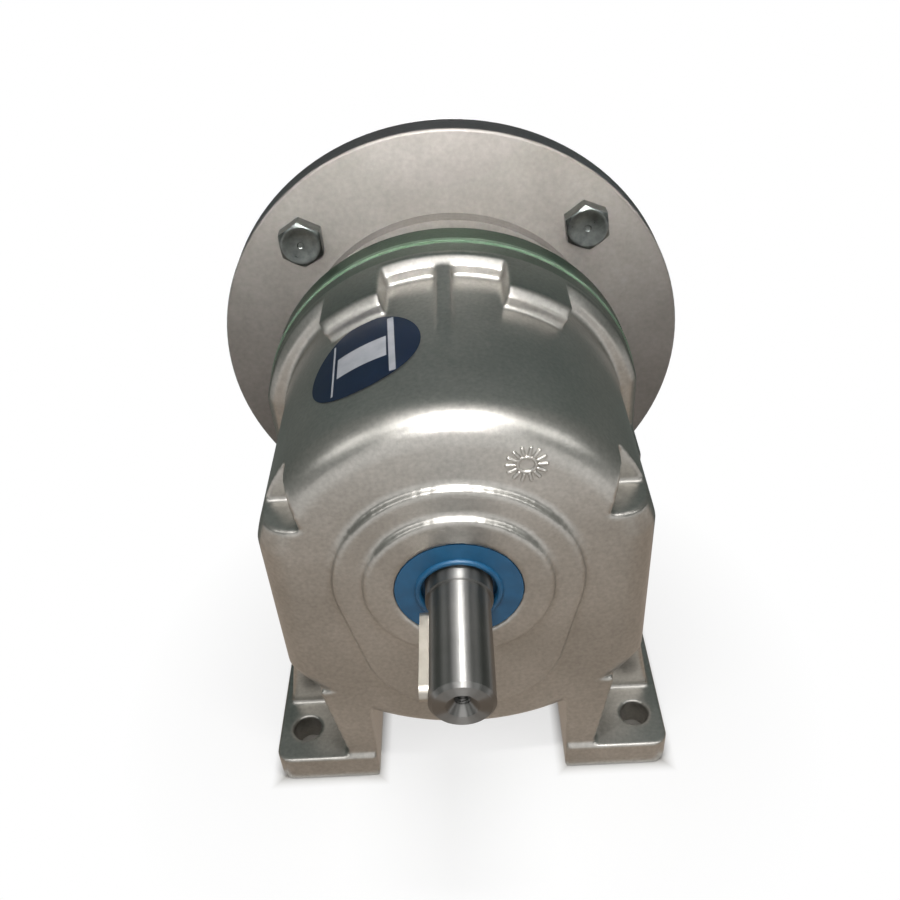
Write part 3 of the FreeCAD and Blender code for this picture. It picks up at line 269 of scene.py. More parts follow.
def faced_metal(name, dark, light, edge_dark, edge_light, edge_radius):
    """Cast aluminium with rough faces and, beyond a radius, smoother edges turned round the shaft axis."""
    material, tree, shader = new_material(name)
    place = object_space(tree)
    normal = tree.nodes.new("ShaderNodeTexCoord").outputs["Normal"]
    along = node(tree, "ShaderNodeMath", operation="ABSOLUTE")
    tree.links.new(split(tree, normal)["Y"], along.inputs[0])
    flat = reached(tree, along.outputs[0], start=0.25, end=0.6)
    inside = reached(tree, from_axis(tree, place), start=edge_radius, end=edge_radius - MM)
    face = combined(tree, "MAXIMUM", flat, inside)
    cloud = noise(tree, place, scale=26.0, detail=6.0, roughness=0.62)
    cast = ramp(tree, cloud, low=0.30, high=0.70, first=dark, last=light)
    edge = ramp(tree, cloud, low=0.30, high=0.70, first=edge_dark, last=edge_light)
    tone = blended(tree, face, edge, cast)
    specks = noise(tree, place, scale=500.0, detail=4.0)
    speck = ramp(tree, specks, low=0.28, high=0.72, first=grey(0.84), last=WHITE)
    tree.links.new(multiplied(tree, tone, speck), shader.inputs["Base Color"])
    tree.links.new(spread(tree, face, low=0.6, high=0.25), shader.inputs["Metallic"])
    tree.links.new(spread(tree, face, low=0.36, high=0.52), shader.inputs["Roughness"])
    grains = noise(tree, place, scale=900.0, detail=2.0)
    fine = bump(tree, shader, grains, strength=0.30, distance=0.0002)
    lumps = noise(tree, place, scale=120.0, detail=4.0)
    bump(tree, shader, lumps, strength=0.12, distance=0.0006, under=fine)
    return material


# How turning marks are drawn out round the axis, and how dark a smear is
RING_STRETCH = (0.02, 1.0, 0.02)
SMEAR_SHADE = 0.82


def turned_steel(name, colour, roughness, groove_scale):
    """Turned or ground steel: fine rings round the axis."""
    material, tree, shader = new_material(name)
    place = object_space(tree)
    rings = noise(tree, stretched(tree, place, RING_STRETCH), scale=groove_scale)
    smear = noise(tree, place, scale=70.0)
    darker = tuple(value * SMEAR_SHADE for value in colour)
    tone = ramp(tree, smear, low=0.3, high=0.7, first=darker, last=colour)
    tree.links.new(tone, shader.inputs["Base Color"])
    gloss = spread(tree, rings, low=roughness - 0.04, high=roughness + 0.10)
    tree.links.new(gloss, shader.inputs["Roughness"])
    shader.inputs["Metallic"].default_value = 1.0
    shader.inputs["Anisotropic"].default_value = 1.0
    shader.inputs["Anisotropic Rotation"].default_value = 0.25
    round_axis = node(tree, "ShaderNodeTangent", direction_type="RADIAL", axis="Y")
    tree.links.new(round_axis.outputs["Tangent"], shader.inputs["Tangent"])
    bump(tree, shader, rings, strength=0.06, distance=0.0001)
    return material


def plated_steel(name, dark, light, roughness):
    """Plated or drawn steel: cloudy tone over a slightly rough surface."""
    material, tree, shader = new_material(name)
    place = object_space(tree)
    cloud = noise(tree, place, scale=240.0, detail=4.0)
    tone = ramp(tree, cloud, low=0.30, high=0.70, first=dark, last=light)
    tree.links.new(tone, shader.inputs["Base Color"])
    gloss = spread(tree, cloud, low=roughness - 0.08, high=roughness + 0.10)
    tree.links.new(gloss, shader.inputs["Roughness"])
    shader.inputs["Metallic"].default_value = 1.0
    grains = noise(tree, place, scale=900.0, detail=2.0)
    bump(tree, shader, grains, strength=0.15, distance=0.0002)
    return material


def plain_surface(name, dark, light, roughness):
    """Rubber, sheet or film: a quiet tone and a fine grain."""
    material, tree, shader = new_material(name)
    place = object_space(tree)
    cloud = noise(tree, place, scale=150.0, detail=4.0)
    tone = ramp(tree, cloud, low=0.3, high=0.72, first=dark, last=light)
    tree.links.new(tone, shader.inputs["Base Color"])
    gloss = spread(tree, cloud, low=roughness - 0.06, high=roughness + 0.10)
    tree.links.new(gloss, shader.inputs["Roughness"])
    grains = noise(tree, place, scale=1500.0, detail=2.0)
    bump(tree, shader, grains, strength=0.12, distance=0.0001)
    return material


# The flange and the cover: dark and light tones, and the radius beyond which an edge is turned
FACE_TONES = ((0.21, 0.193, 0.176), (0.288, 0.266, 0.246))
# Painted shade: the flange's turned edges are made dark, standing in for the dark they reflect
FLANGE_EDGE_PAINTED_SHADE = ((0.08, 0.073, 0.075), (0.12, 0.11, 0.112))
COVER_EDGE_TONES = ((0.018, 0.043, 0.023), (0.034, 0.068, 0.038))
FLANGE_EDGE_RADIUS = 92.0 * MM
COVER_EDGE_RADIUS = 62.0 * MM

MATERIALS = {
    "die_cast": cast_metal("die_cast", (0.40, 0.385, 0.355), (0.54, 0.52, 0.485), metallic=0.88,
                           roughness=0.32, grain=1500.0, grain_depth=0.20),
    "cast_flange": faced_metal("cast_flange", *FACE_TONES, *FLANGE_EDGE_PAINTED_SHADE, FLANGE_EDGE_RADIUS),
    "cast_cover": faced_metal("cast_cover", *FACE_TONES, *COVER_EDGE_TONES, COVER_EDGE_RADIUS),
    "gasket": plain_surface("gasket", (0.085, 0.145, 0.09), (0.16, 0.235, 0.165), roughness=0.45),
    "blue_seal": plain_surface("blue_seal", (0.005, 0.062, 0.138), (0.008, 0.088, 0.19), roughness=0.42),
    "black_seal": plain_surface("black_seal", (0.012, 0.012, 0.013), (0.03, 0.03, 0.032), roughness=0.5),
    "zinc": plated_steel("zinc", (0.11, 0.12, 0.114), (0.21, 0.225, 0.213), roughness=0.30),
    "ground_steel": turned_steel("ground_steel", (0.27, 0.265, 0.255), roughness=0.40, groove_scale=9000.0),
    "key_steel": plated_steel("key_steel", (0.40, 0.37, 0.325), (0.47, 0.44, 0.39), roughness=0.42),
    "spring_steel": plated_steel("spring_steel", (0.05, 0.05, 0.055), (0.12, 0.12, 0.125), roughness=0.4),
    "bearing_steel": turned_steel("bearing_steel", (0.62, 0.62, 0.62), roughness=0.32, groove_scale=12000.0),
    "gear_steel": turned_steel("gear_steel", (0.42, 0.42, 0.42), roughness=0.34, groove_scale=5000.0),
    "navy_film": plain_surface("navy_film", (0.003, 0.009, 0.028), (0.006, 0.016, 0.042), roughness=0.42),
    "white_print": plain_surface("white_print", (0.34, 0.355, 0.385), (0.46, 0.47, 0.50), roughness=0.45),
}

for name, obj in frame["nodes"].items():
    obj.data.materials.clear()
    obj.data.materials.append(MATERIALS["cast_cover" if name == "rear_cover" else SLOTS[name]])


# Mesh helpers

WELD = 1e-6
CAD_WELD = 1e-7


def new_piece(name, bm, slot, body, crease=30.0):
    """Finish a mesh as a piece of a body, smooth except over sharp edges."""
    bmesh.ops.remove_doubles(bm, verts=bm.verts, dist=WELD)
    bmesh.ops.recalc_face_normals(bm, faces=bm.faces)
    mesh = bpy.data.meshes.new(name)
    bm.to_mesh(mesh)
    bm.free()
    mesh.materials.append(MATERIALS[slot])
    mesh.polygons.foreach_set("use_smooth", [True] * len(mesh.polygons))
    mesh.set_sharp_from_angle(angle=math.radians(crease))
    obj = bpy.data.objects.new(name, mesh)
    bpy.context.scene.collection.objects.link(obj)
    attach(obj, body)
    return obj


def turns(count):
    """Angles that divide a full turn evenly."""
    return [2 * math.pi * i / count for i in range(count)]


def add_drum(bm, centre, axis, radius, length, sides=96):
    """A closed cylinder round an axis, starting at centre."""
    turn = axis.to_track_quat("Z", "Y").to_matrix().to_4x4()
    middle = Matrix.Translation(centre + axis * length / 2)
    bmesh.ops.create_cone(bm, cap_ends=True, segments=sides, radius1=radius, radius2=radius, depth=length,
                          matrix=middle @ turn)


def join_rings(bm, low, high):
    """Fill the band between two rings of points."""
    count = len(low)
    for i in range(count):
        j = (i + 1) % count
        bm.faces.new((low[i], low[j], high[j], high[i]))


def add_rings(bm, frame_matrix, rings):
    """Skin a stack of rings, each a list of (x, y, z) round the local z axis, and close its ends."""
    rows = [[bm.verts.new(frame_matrix @ Vector(point)) for point in ring] for ring in rings]
    for low, high in zip(rows, rows[1:]):
        join_rings(bm, low, high)
    bm.faces.new(rows[0][::-1])
    bm.faces.new(rows[-1])


def islands(name):
    """The box of every separate solid in a CAD node."""
    bm = bmesh.new()
    bm.from_mesh(frame["nodes"][name].data)
    bmesh.ops.remove_doubles(bm, verts=bm.verts, dist=CAD_WELD)
    left = set(bm.verts)
    boxes = []
    while left:
        group, todo = [], [left.pop()]
        while todo:
            vert = todo.pop()
            group.append(vert.co.copy())
            near = [edge.other_vert(vert) for edge in vert.link_edges]
            fresh = [other for other in near if other in left]
            left.difference_update(fresh)
            todo.extend(fresh)
        low = Vector([min(point[i] for point in group) for i in range(3)])
        high = Vector([max(point[i] for point in group) for i in range(3)])
        boxes.append((low, high))
    bm.free()
    return boxes


# Housing: the CAD casting with its edges and corners softened as in a mould

SKIN_VOXEL = 0.8 * MM
SKIN_ROUNDS = 3
SKIN_EASE = 0.5
SKIN_CREASE = 80.0

# The plugs of the gear chamber and the seal bore, in millimetres
CAP_FRONT, CAP_REAR = 96.0, 101.0
CAP_DRUMS = ((0.0, 64.4), (-18.0, 64.3))
CAP_HALF_WIDTH, CAP_LOW, CAP_HIGH = 61.5, -46.0, 20.0
PLUG_FRONT, PLUG_REAR = 9.6, 13.0
PLUG_RADIUS = 27.0

# Which faces of the skin only close a plug: their reach in the bore, their slack and how far they face back
BORE_RADIUS = 24.0
SLACK_FRONT, SLACK_REAR = 0.8, 0.45
REAR_FACING = 0.7


def add_plugs(bm):
    """Close the gear chamber and the seal bore, so that only the outside is skinned."""
    depth = (CAP_REAR - CAP_FRONT) * MM
    for drop, radius in CAP_DRUMS:
        add_drum(bm, at(0.0, CAP_FRONT, drop), BACK, radius * MM, depth)
    middle = Matrix.Translation(at(0.0, (CAP_FRONT + CAP_REAR) / 2, (CAP_LOW + CAP_HIGH) / 2))
    size = Matrix.Diagonal((2 * CAP_HALF_WIDTH * MM, depth, (CAP_HIGH - CAP_LOW) * MM, 1.0))
    bmesh.ops.create_cube(bm, size=1.0, matrix=middle @ size)
    add_drum(bm, at(0.0, PLUG_FRONT, 0.0), BACK, PLUG_RADIUS * MM, (PLUG_REAR - PLUG_FRONT) * MM)


def on_plug(face):
    """True for a face of the skin that only closes the chamber or the bore."""
    place = face.calc_center_median()
    depth = (place.y - BOSS_FRONT) / MM
    x, z = place.x / MM, (place.z - AXIS_Z) / MM
    in_bore = math.hypot(x, z) < BORE_RADIUS and PLUG_FRONT - SLACK_FRONT < depth < PLUG_REAR
    in_drum = any(math.hypot(x, z - drop) < radius for drop, radius in CAP_DRUMS)
    in_block = abs(x) < CAP_HALF_WIDTH and CAP_LOW < z < CAP_HIGH
    on_cap = face.normal.y > REAR_FACING and CAP_REAR - SLACK_FRONT < depth < CAP_REAR + SLACK_REAR
    return in_bore or (on_cap and (in_drum or in_block))


def make_housing_skin():
    """One skin over the plugged casting, smoothed, and opened again where the plugs were."""
    bm = bmesh.new()
    bm.from_mesh(frame["nodes"]["housing"].data)
    bmesh.ops.remove_doubles(bm, verts=bm.verts, dist=CAD_WELD)
    add_plugs(bm)
    mesh = bpy.data.meshes.new("rough_casting")
    bm.to_mesh(mesh)
    bm.free()
    rough = bpy.data.objects.new("rough_casting", mesh)
    bpy.context.scene.collection.objects.link(rough)
    remesh = rough.modifiers.new("skin", "REMESH")
    remesh.mode = "VOXEL"
    remesh.voxel_size = SKIN_VOXEL
    graph = bpy.context.evaluated_depsgraph_get()
    skinned = bpy.data.meshes.new_from_object(rough.evaluated_get(graph))
    bpy.data.objects.remove(rough)
    bm = bmesh.new()
    bm.from_mesh(skinned)
    bpy.data.meshes.remove(skinned)
    for _ in range(SKIN_ROUNDS):
        bmesh.ops.smooth_vert(bm, verts=bm.verts, factor=SKIN_EASE,
                              use_axis_x=True, use_axis_y=True, use_axis_z=True)
    bm.normal_update()
    bmesh.ops.delete(bm, geom=[face for face in bm.faces if on_plug(face)], context="FACES")
    skin = new_piece("housing_skin", bm, "die_cast", "frame_body", SKIN_CREASE)
    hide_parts("housing")
    return skin


# Screws and bolts

BOLT_FLATS = 17.0 * MM
BOLT_HEAD = 6.4 * MM
BOLT_PLAIN = 15.0 * MM
BOLT_RADIUS = 4.6 * MM
BOLT_PITCH = 1.5 * MM
BOLT_TURN_LEFT, BOLT_TURN_RIGHT = 2.0, 7.0
SCREW_FLATS = 13.0 * MM
SCREW_HEAD = 5.3 * MM
SCREW_RADIUS = 4.0 * MM
HEAD_SIDES = 96
SHANK_SIDES = 48

# A head's crown, dish and centre dimple, as shares of its width across flats
CROWN_RADIUS = 0.475
CROWN_SLOPE = math.tan(math.radians(30))
DISH_OUTER, DISH_INNER, DISH_DEPTH = 0.40, 0.34, 0.018
DIMPLE_OUTER, DIMPLE_INNER, DIMPLE_HUB, DIMPLE_DEPTH = 0.09, 0.06, 0.01, 0.02

# A rolled thread: its depth and its taper at the tip as shares of its pitch, and how finely it is drawn
THREAD_DEPTH = 0.55
THREAD_TAPER = 0.6
THREAD_SIDES = 36
STEPS_PER_PITCH = 8


def hex_reach(angle, flats):
    """Distance from a hexagon's middle to its side at an angle, with the first corner at 30 degrees."""
    sector = math.pi / 3
    return flats / 2 / math.cos((angle + sector / 2) % sector - sector / 2)


def add_hex_head(bm, place, flats, height):
    """A hexagon head with a chamfered crown, a shallow dish and a small centre dimple."""
    crown = CROWN_RADIUS * flats
    angles = turns(HEAD_SIDES)

    def round_ring(radius, level):
        """A circle of points at a level."""
        return [(radius * math.cos(a), radius * math.sin(a), level) for a in angles]

    base, top = [], []
    for a in angles:
        reach = hex_reach(a, flats)
        x, y = reach * math.cos(a), reach * math.sin(a)
        base.append((x, y, 0.0))
        top.append((x, y, height - max(0.0, reach - crown) * CROWN_SLOPE))
    dish = height - DISH_DEPTH * flats
    dimple = dish - DIMPLE_DEPTH * flats
    levels = ((DISH_OUTER, height), (DISH_INNER, dish), (DIMPLE_OUTER, dish),
              (DIMPLE_INNER, dimple), (DIMPLE_HUB, dimple))
    inner = [round_ring(share * flats, level) for share, level in levels]
    add_rings(bm, place, [base, top, round_ring(crown, height), *inner])


def add_thread(bm, place, radius, pitch, length):
    """A rolled thread: rings whose radius follows a helix, tapering at the tip."""
    steps = int(length / pitch * STEPS_PER_PITCH)
    depth = THREAD_DEPTH * pitch
    rings = []
    for step in range(steps + 1):
        level = length * step / steps
        lead = max(0.0, (level - (length - pitch)) / pitch)
        ring = []
        for i, angle in enumerate(turns(THREAD_SIDES)):
            phase = (level / pitch - i / THREAD_SIDES) % 1.0
            reach = radius - depth * abs(2 * phase - 1) - THREAD_TAPER * pitch * lead
            ring.append((reach * math.cos(angle), reach * math.sin(angle), level))
        rings.append(ring)
    add_rings(bm, place, rings)


def facing(place, forward):
    """A local frame at a place, with its z axis towards the front or the rear and x to the right."""
    tilt = math.pi / 2 if forward else -math.pi / 2
    return Matrix.Translation(place) @ Matrix.Rotation(tilt, 4, "X")


def make_motor_bolts():
    """The four motor bolts: heads on the front of the flange, threads standing out behind it."""
    bm = bmesh.new()
    for low, high in islands("motor_bolts"):
        x, z = (low.x + high.x) / 2, (low.z + high.z) / 2
        seat = Vector((x, low.y + BOLT_HEAD, z))
        spin = Matrix.Rotation(math.radians(BOLT_TURN_RIGHT if x > 0.0 else BOLT_TURN_LEFT), 4, "Z")
        add_hex_head(bm, facing(seat, True) @ spin, BOLT_FLATS, BOLT_HEAD)
        add_drum(bm, seat, BACK, BOLT_RADIUS, BOLT_PLAIN, SHANK_SIDES)
        reach = high.y - seat.y - BOLT_PLAIN
        start = seat + BACK * BOLT_PLAIN
        add_thread(bm, facing(start, False), BOLT_RADIUS, BOLT_PITCH, reach)
    bolts = new_piece("motor_bolt_set", bm, "zinc", "frame_body")
    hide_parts("motor_bolts")


def make_cover_screws():
    """The cover screws with their heads in the gap behind the mating rim."""
    bm = bmesh.new()
    for low, high in islands("cover_screws"):
        x, z = (low.x + high.x) / 2, (low.z + high.z) / 2
        seat = Vector((x, high.y - SCREW_HEAD, z))
        add_hex_head(bm, facing(seat, False), SCREW_FLATS, SCREW_HEAD)
        add_drum(bm, Vector((x, low.y, z)), BACK, SCREW_RADIUS, seat.y - low.y, SHANK_SIDES)
    screws = new_piece("cover_screw_set", bm, "zinc", "frame_body")
    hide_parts("cover_screws")


# Casting mark: a small raised ring with rays on the shoulder, in millimetres

MARK_PLACE = (22.6, 47.9)
MARK_RING, MARK_RING_BEADS = 2.8, 40
MARK_RAYS, MARK_RAY_BEADS = 14, 7
MARK_RAY_NEAR, MARK_RAY_FAR = 3.7, 6.0
MARK_BEAD = 0.7
MARK_START = -20.0


def make_casting_mark(skin):
    """Lay beads on the skin along a ring and its rays."""
    tree = BVHTree.FromPolygons([vert.co for vert in skin.data.vertices],
                                [face.vertices for face in skin.data.polygons])
    spots = [(MARK_RING * math.cos(a), MARK_RING * math.sin(a)) for a in turns(MARK_RING_BEADS)]
    for angle in turns(MARK_RAYS):
        for step in range(MARK_RAY_BEADS):
            reach = MARK_RAY_NEAR + (MARK_RAY_FAR - MARK_RAY_NEAR) * step / (MARK_RAY_BEADS - 1)
            spots.append((reach * math.cos(angle), reach * math.sin(angle)))
    bm = bmesh.new()
    for across, up in spots:
        front = at(MARK_PLACE[0] + across, MARK_START, MARK_PLACE[1] + up)
        place, _, _, _ = tree.ray_cast(front, BACK)
        bmesh.ops.create_icosphere(bm, subdivisions=2, radius=MARK_BEAD * MM,
                                   matrix=Matrix.Translation(place))
    mark = new_piece("casting_mark", bm, "die_cast", "frame_body")


# Label: a plain navy round film on the top left of the housing, with bare pale fields, in millimetres

BODY_RADIUS = 67.0
LABEL_ANGLE = -24.4
LABEL_STATION = 49.0
LABEL_TILT = 3.5
LABEL_RADIUS = 20.8
LABEL_SIDES = 96
LABEL_FIELDS = ((-9.2, -6.4, 9.2, 5.6), (9.9, -16.5, 12.1, 16.5), (-11.2, -15.6, -10.4, 15.6))
FILM_LIFT, FIELD_LIFT = 0.25, 0.32
FILM_STEPS = 8


def on_body(along, across, lift):
    """A place on the round top from label coordinates in millimetres, lifted off the surface."""
    tilt = math.radians(LABEL_TILT)
    arc = along * math.cos(tilt) - across * math.sin(tilt)
    y = LABEL_STATION + along * math.sin(tilt) + across * math.cos(tilt)
    angle = math.radians(LABEL_ANGLE) + arc / BODY_RADIUS
    reach = BODY_RADIUS + lift
    return at(reach * math.sin(angle), y, reach * math.cos(angle))


def add_film(bm, outline, lift):
    """A film on the round top: an outline of label coordinates filled as a fine fan."""
    count = len(outline)
    middle = (sum(a for a, _ in outline) / count, sum(b for _, b in outline) / count)
    rows = []
    for step in range(1, FILM_STEPS + 1):
        share = step / FILM_STEPS
        spots = [(middle[0] + (a - middle[0]) * share, middle[1] + (b - middle[1]) * share)
                 for a, b in outline]
        rows.append([bm.verts.new(on_body(*spot, lift)) for spot in spots])
    hub = bm.verts.new(on_body(*middle, lift))
    for i in range(count):
        j = (i + 1) % count
        bm.faces.new((hub, rows[0][i], rows[0][j]))
        for low, high in zip(rows, rows[1:]):
            bm.faces.new((low[i], high[i], high[j], low[j]))


def field(x0, y0, x1, y1, steps=12):
    """The outline of a rectangle, finely divided."""
    corners = [(x0, y0), (x1, y0), (x1, y1), (x0, y1)]
    points = []
    for (ax, ay), (bx, by) in zip(corners, corners[1:] + corners[:1]):
        points += [(ax + (bx - ax) * i / steps, ay + (by - ay) * i / steps) for i in range(steps)]
    return points


def make_label():
    """The round film and the fields on it."""
    bm = bmesh.new()
    outline = [(LABEL_RADIUS * math.cos(a), LABEL_RADIUS * math.sin(a)) for a in turns(LABEL_SIDES)]
    add_film(bm, outline, FILM_LIFT)
    new_piece("label_film", bm, "navy_film", "frame_body")
    bm = bmesh.new()
    for corners in LABEL_FIELDS:
        add_film(bm, field(*corners), FIELD_LIFT)
    new_piece("label_fields", bm, "white_print", "frame_body")


# The lip of the output seal, in millimetres

LIP_RADIUS = 13.4
LIP_HALF = 1.1
LIP_AROUND, LIP_ACROSS = 96, 12


def make_seal_lip():
    """A rounded lip standing out of the seal round the shaft."""
    bm = bmesh.new()
    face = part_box("output_seal")[0][1]
    rows = []
    for turn in turns(LIP_AROUND):
        row = []
        for tilt in turns(LIP_ACROSS):
            reach = (LIP_RADIUS + LIP_HALF * math.cos(tilt)) * MM
            row.append(bm.verts.new((reach * math.cos(turn), face - LIP_HALF * MM * math.sin(tilt),
                                     AXIS_Z + reach * math.sin(turn))))
        rows.append(row)
    for near, far in zip(rows, rows[1:] + rows[:1]):
        join_rings(bm, near, far)
    lip = new_piece("seal_lip", bm, "blue_seal", "frame_body")


# The thread in the shaft's end

END_PITCH = 1.0 * MM
END_HOLE = 2.5 * MM
END_CREST = 2.15 * MM
END_START = 3.0 * MM
END_LENGTH = 10.0 * MM
END_SIDES = 40


def make_shaft_thread():
    """Thread crests standing in the tapped hole of the output shaft."""
    bm = bmesh.new()
    steps = int(END_LENGTH / END_PITCH * STEPS_PER_PITCH)
    rows = []
    for step in range(steps + 1):
        level = END_START + END_LENGTH * step / steps
        row = []
        for i, angle in enumerate(turns(END_SIDES)):
            phase = (level / END_PITCH - i / END_SIDES) % 1.0
            reach = END_CREST + (END_HOLE - END_CREST) * abs(2 * phase - 1)
            row.append(bm.verts.new((reach * math.cos(angle), SHAFT_TIP + level,
                                     AXIS_Z + reach * math.sin(angle))))
        rows.append(row)
    for low, high in zip(rows, rows[1:]):
        for i in range(END_SIDES):
            j = (i + 1) % END_SIDES
            bm.faces.new((low[i], high[i], high[j], low[j]))
    thread = new_piece("shaft_end_thread", bm, "ground_steel", "output")


make_casting_mark(make_housing_skin())
make_motor_bolts()
make_cover_screws()
make_label()
make_seal_lip()
make_shaft_thread()


# The studio

# Lamps: name, place, target and size in metres, power in watts and beam in degrees
OPEN_BEAM = 180.0
LAMPS = (
    ("key", (0.02, -0.28, 0.57), (0.0, -0.02, 0.14), (0.52, 0.25), 1.15, OPEN_BEAM),
    ("shaft", (0.008, -0.092, 0.25), (0.0, -0.092, 0.118), (0.012, 0.05), 0.07, 90.0),
    ("spot", (0.0, -0.74, 0.56), (0.0, 0.094, 0.235), (0.14, 0.08), 0.22, 16.0),
    ("left", (-0.50, -0.35, 0.50), (0.0, 0.0, 0.1), (0.24, 0.30), 0.5, OPEN_BEAM),
    ("right", (0.50, -0.35, 0.50), (0.0, 0.0, 0.1), (0.24, 0.30), 0.5, OPEN_BEAM),
    ("rear", (0.0, 0.85, 0.12), (0.0, 0.1, 0.108), (0.15, 0.15), 1.8, OPEN_BEAM),
)

# The fill from the world
FILL_COLOUR = (1.0, 0.985, 0.96)
FILL_STRENGTH = 0.28

# The floor: the soles of the feet on it, and the distances over which it turns plain white
FLOOR_HALF = 3.0
FLOOR_TONES = ((0.90, 0.90, 0.895), (0.93, 0.93, 0.925))
# Painted shadow: the floor's colour is darkened under the soles of the feet, so the holes in the feet look
# dark
SOLE_PAINTED_SHADOW = (0.40, 0.38, 0.35)
SOLE_INNER, SOLE_OUTER, SOLE_HALF_LENGTH = 0.037, 0.077, 0.0495
SOLE_EDGE = (-0.002, 0.004)
WHITE_RANGE = (0.05, 0.15)
WHITE_NEAR, WHITE_FAR = 0.72, 1.0

# The boards that only reflections see
ROOM_HALF, ROOM_FRONT, ROOM_BACK = 2.2, -2.0, 1.2
WALL_LEAN, WALL_HEIGHT = 0.2, 2.4
SIDE_FOOT, SIDE_LEAN, SIDE_HEIGHT = 1.0, 0.8, 1.6
MAT_HALF, MAT_FRONT, MAT_BACK = 0.4, -0.22, 0.06
MAT_LEVEL = 0.001
MAT_GAP = 0.0005
MAT_INNER, MAT_OUTER = SOLE_INNER - MAT_GAP, SOLE_OUTER + MAT_GAP
MAT_SEAM = -(SOLE_HALF_LENGTH + 2 * MAT_GAP)
WALL_TONE = (0.08, 0.118, 0.112)
ROOM_TONE = (0.10, 0.12, 0.11)
MAT_TONE = (0.46, 0.385, 0.32)


def area_light(name, place, target, size, power, beam):
    """A rectangular lamp aimed at a target."""
    data = bpy.data.lights.new(name, "AREA")
    data.shape = "RECTANGLE"
    data.size, data.size_y = size
    data.energy = power
    data.spread = math.radians(beam)
    lamp = bpy.data.objects.new(name, data)
    lamp.location = place
    lamp.rotation_euler = (Vector(target) - Vector(place)).to_track_quat("-Z", "Y").to_euler()
    bpy.context.scene.collection.objects.link(lamp)


def seen_rays(tree):
    """A factor of 1 for camera, glossy and transmission rays."""
    path = tree.nodes.new("ShaderNodeLightPath")
    factor = path.outputs["Is Camera Ray"]
    for kind in ("Is Glossy Ray", "Is Transmission Ray"):
        factor = combined(tree, "MAXIMUM", factor, path.outputs[kind])
    return factor


def make_world():
    """A plain fill for the surfaces, and white for the background and for reflections."""
    world = bpy.data.worlds.new("studio")
    bpy.context.scene.world = world
    world.use_nodes = True
    tree = world.node_tree
    fill = tree.nodes["Background"]
    fill.inputs["Color"].default_value = (*FILL_COLOUR, 1.0)
    fill.inputs["Strength"].default_value = FILL_STRENGTH
    white = tree.nodes.new("ShaderNodeBackground")
    white.inputs["Color"].default_value = (*WHITE, 1.0)
    white.inputs["Strength"].default_value = 1.0
    mix = tree.nodes.new("ShaderNodeMixShader")
    tree.links.new(seen_rays(tree), mix.inputs[0])
    tree.links.new(fill.outputs[0], mix.inputs[1])
    tree.links.new(white.outputs[0], mix.inputs[2])
    tree.links.new(mix.outputs[0], tree.nodes["World Output"].inputs["Surface"])


def new_board(name, corners, material):
    """A flat stage piece from its corners."""
    mesh = bpy.data.meshes.new(name)
    mesh.from_pydata(corners, [], [tuple(range(len(corners)))])
    mesh.materials.append(material)
    board = bpy.data.objects.new(name, mesh)
    bpy.context.scene.collection.objects.link(board)
    return board


def lying(left, right, near, far, level):
    """The corners of a board that lies at a level."""
    return [(left, near, level), (right, near, level), (right, far, level), (left, far, level)]


def beyond_feet(tree, place):
    """How far a place on the floor lies outside the soles of the two feet."""
    parts = split(tree, place)
    sole_middle, sole_half = (SOLE_INNER + SOLE_OUTER) / 2, (SOLE_OUTER - SOLE_INNER) / 2
    gaps = []
    for axis, middle, half in (("X", sole_middle, sole_half), ("Y", 0.0, SOLE_HALF_LENGTH)):
        value = parts[axis]
        for number in (middle, half):
            size = node(tree, "ShaderNodeMath", operation="ABSOLUTE")
            tree.links.new(value, size.inputs[0])
            step = node(tree, "ShaderNodeMath", operation="SUBTRACT")
            tree.links.new(size.outputs[0], step.inputs[0])
            step.inputs[1].default_value = number
            value = step.outputs[0]
        gaps.append(value)
    return combined(tree, "MAXIMUM", *gaps)


def make_floor():
    """A pale floor that is seen white away from the object and keeps its shadow close to it, with painted
    shadow under the soles of the feet.
    """
    material, tree, shader = new_material("floor")
    place = object_space(tree)
    first, last = FLOOR_TONES
    pale = ramp(tree, noise(tree, place, scale=6.0, detail=2.0), low=0.2, high=0.8, first=first, last=last)
    shader.inputs["Roughness"].default_value = 0.9
    white = tree.nodes.new("ShaderNodeEmission")
    white.inputs["Color"].default_value = (*WHITE, 1.0)
    white.inputs["Strength"].default_value = 1.0
    distance = node(tree, "ShaderNodeVectorMath", operation="LENGTH")
    tree.links.new(place, distance.inputs[0])
    away = reached(tree, distance.outputs["Value"], *WHITE_RANGE, WHITE_NEAR, WHITE_FAR)
    open_floor = reached(tree, beyond_feet(tree, place), *SOLE_EDGE)
    # Painted shadow under the soles
    painted_sole_shadow = ramp(tree, open_floor, low=0.0, high=1.0, first=SOLE_PAINTED_SHADOW, last=WHITE)
    tree.links.new(multiplied(tree, pale, painted_sole_shadow), shader.inputs["Base Color"])
    share = combined(tree, "MULTIPLY", open_floor, away)
    seen = combined(tree, "MULTIPLY", seen_rays(tree), share)
    mix = tree.nodes.new("ShaderNodeMixShader")
    tree.links.new(seen, mix.inputs[0])
    tree.links.new(shader.outputs["BSDF"], mix.inputs[1])
    tree.links.new(white.outputs["Emission"], mix.inputs[2])
    tree.links.new(mix.outputs[0], tree.nodes["Material Output"].inputs["Surface"])
    new_board("floor", lying(-FLOOR_HALF, FLOOR_HALF, -FLOOR_HALF, FLOOR_HALF, FOOT_Z), material)


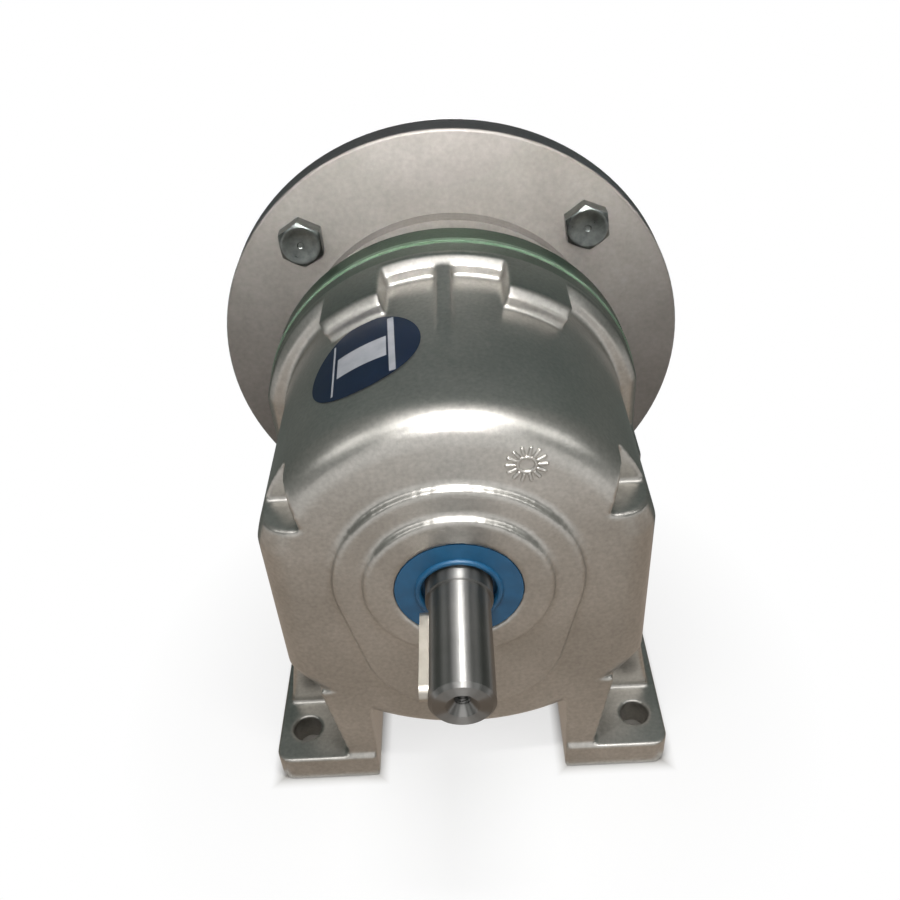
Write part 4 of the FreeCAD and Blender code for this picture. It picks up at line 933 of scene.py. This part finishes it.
def reflected_board(name, corners, colour):
    """A dim board that only reflections see."""
    material = bpy.data.materials.new(name)
    material.use_nodes = True
    tree = material.node_tree
    tree.nodes.clear()
    output = tree.nodes.new("ShaderNodeOutputMaterial")
    dim = tree.nodes.new("ShaderNodeEmission")
    dim.inputs["Color"].default_value = (*colour, 1.0)
    dim.inputs["Strength"].default_value = 1.0
    tree.links.new(dim.outputs["Emission"], output.inputs["Surface"])
    board = new_board(name, corners, material)
    board.visible_camera = False
    board.visible_diffuse = False
    board.visible_shadow = False
    board.visible_transmission = False


def make_boards():
    """A dark room behind and beside the object, and a brown mat round its soles."""
    reflected_board("dark_wall", [(-ROOM_HALF, ROOM_BACK, 0.0), (ROOM_HALF, ROOM_BACK, 0.0),
                                  (ROOM_HALF, WALL_LEAN, WALL_HEIGHT), (-ROOM_HALF, WALL_LEAN, WALL_HEIGHT)],
                    WALL_TONE)
    reflected_board("dark_floor", lying(-ROOM_HALF, ROOM_HALF, MAT_BACK, ROOM_BACK, MAT_LEVEL), ROOM_TONE)
    for side in (-1.0, 1.0):
        low, high = side * SIDE_FOOT, side * SIDE_LEAN
        reflected_board("dark_side", [(low, ROOM_FRONT, 0.0), (low, ROOM_BACK, 0.0),
                                      (high, ROOM_BACK, SIDE_HEIGHT), (high, ROOM_FRONT, SIDE_HEIGHT)],
                        ROOM_TONE)
    mats = ((-MAT_HALF, MAT_HALF, MAT_FRONT, MAT_SEAM), (-MAT_HALF, -MAT_OUTER, MAT_SEAM, MAT_BACK),
            (-MAT_INNER, MAT_INNER, MAT_SEAM, MAT_BACK), (MAT_OUTER, MAT_HALF, MAT_SEAM, MAT_BACK))
    for mat in mats:
        reflected_board("brown_mat", lying(*mat, MAT_LEVEL), MAT_TONE)


def make_camera():
    """A camera fitted to the view of the photo."""
    data = bpy.data.cameras.new("camera")
    data.lens = CAMERA_LENS
    data.sensor_width = CAMERA_SENSOR
    data.clip_start = CAMERA_NEAR
    camera = bpy.data.objects.new("camera", data)
    turn = Matrix.Rotation(-CAMERA_YAW, 4, "Z")
    tilt = Matrix.Rotation(math.pi / 2 - CAMERA_PITCH, 4, "X")
    roll = Matrix.Rotation(CAMERA_ROLL, 4, "Z")
    camera.matrix_world = Matrix.Translation(CAMERA_PLACE) @ turn @ tilt @ roll
    bpy.context.scene.collection.objects.link(camera)
    bpy.context.scene.camera = camera


make_world()
make_floor()
make_boards()
make_camera()
for lamp in LAMPS:
    area_light(*lamp)
bpy.context.scene.view_settings.view_transform = "Standard"
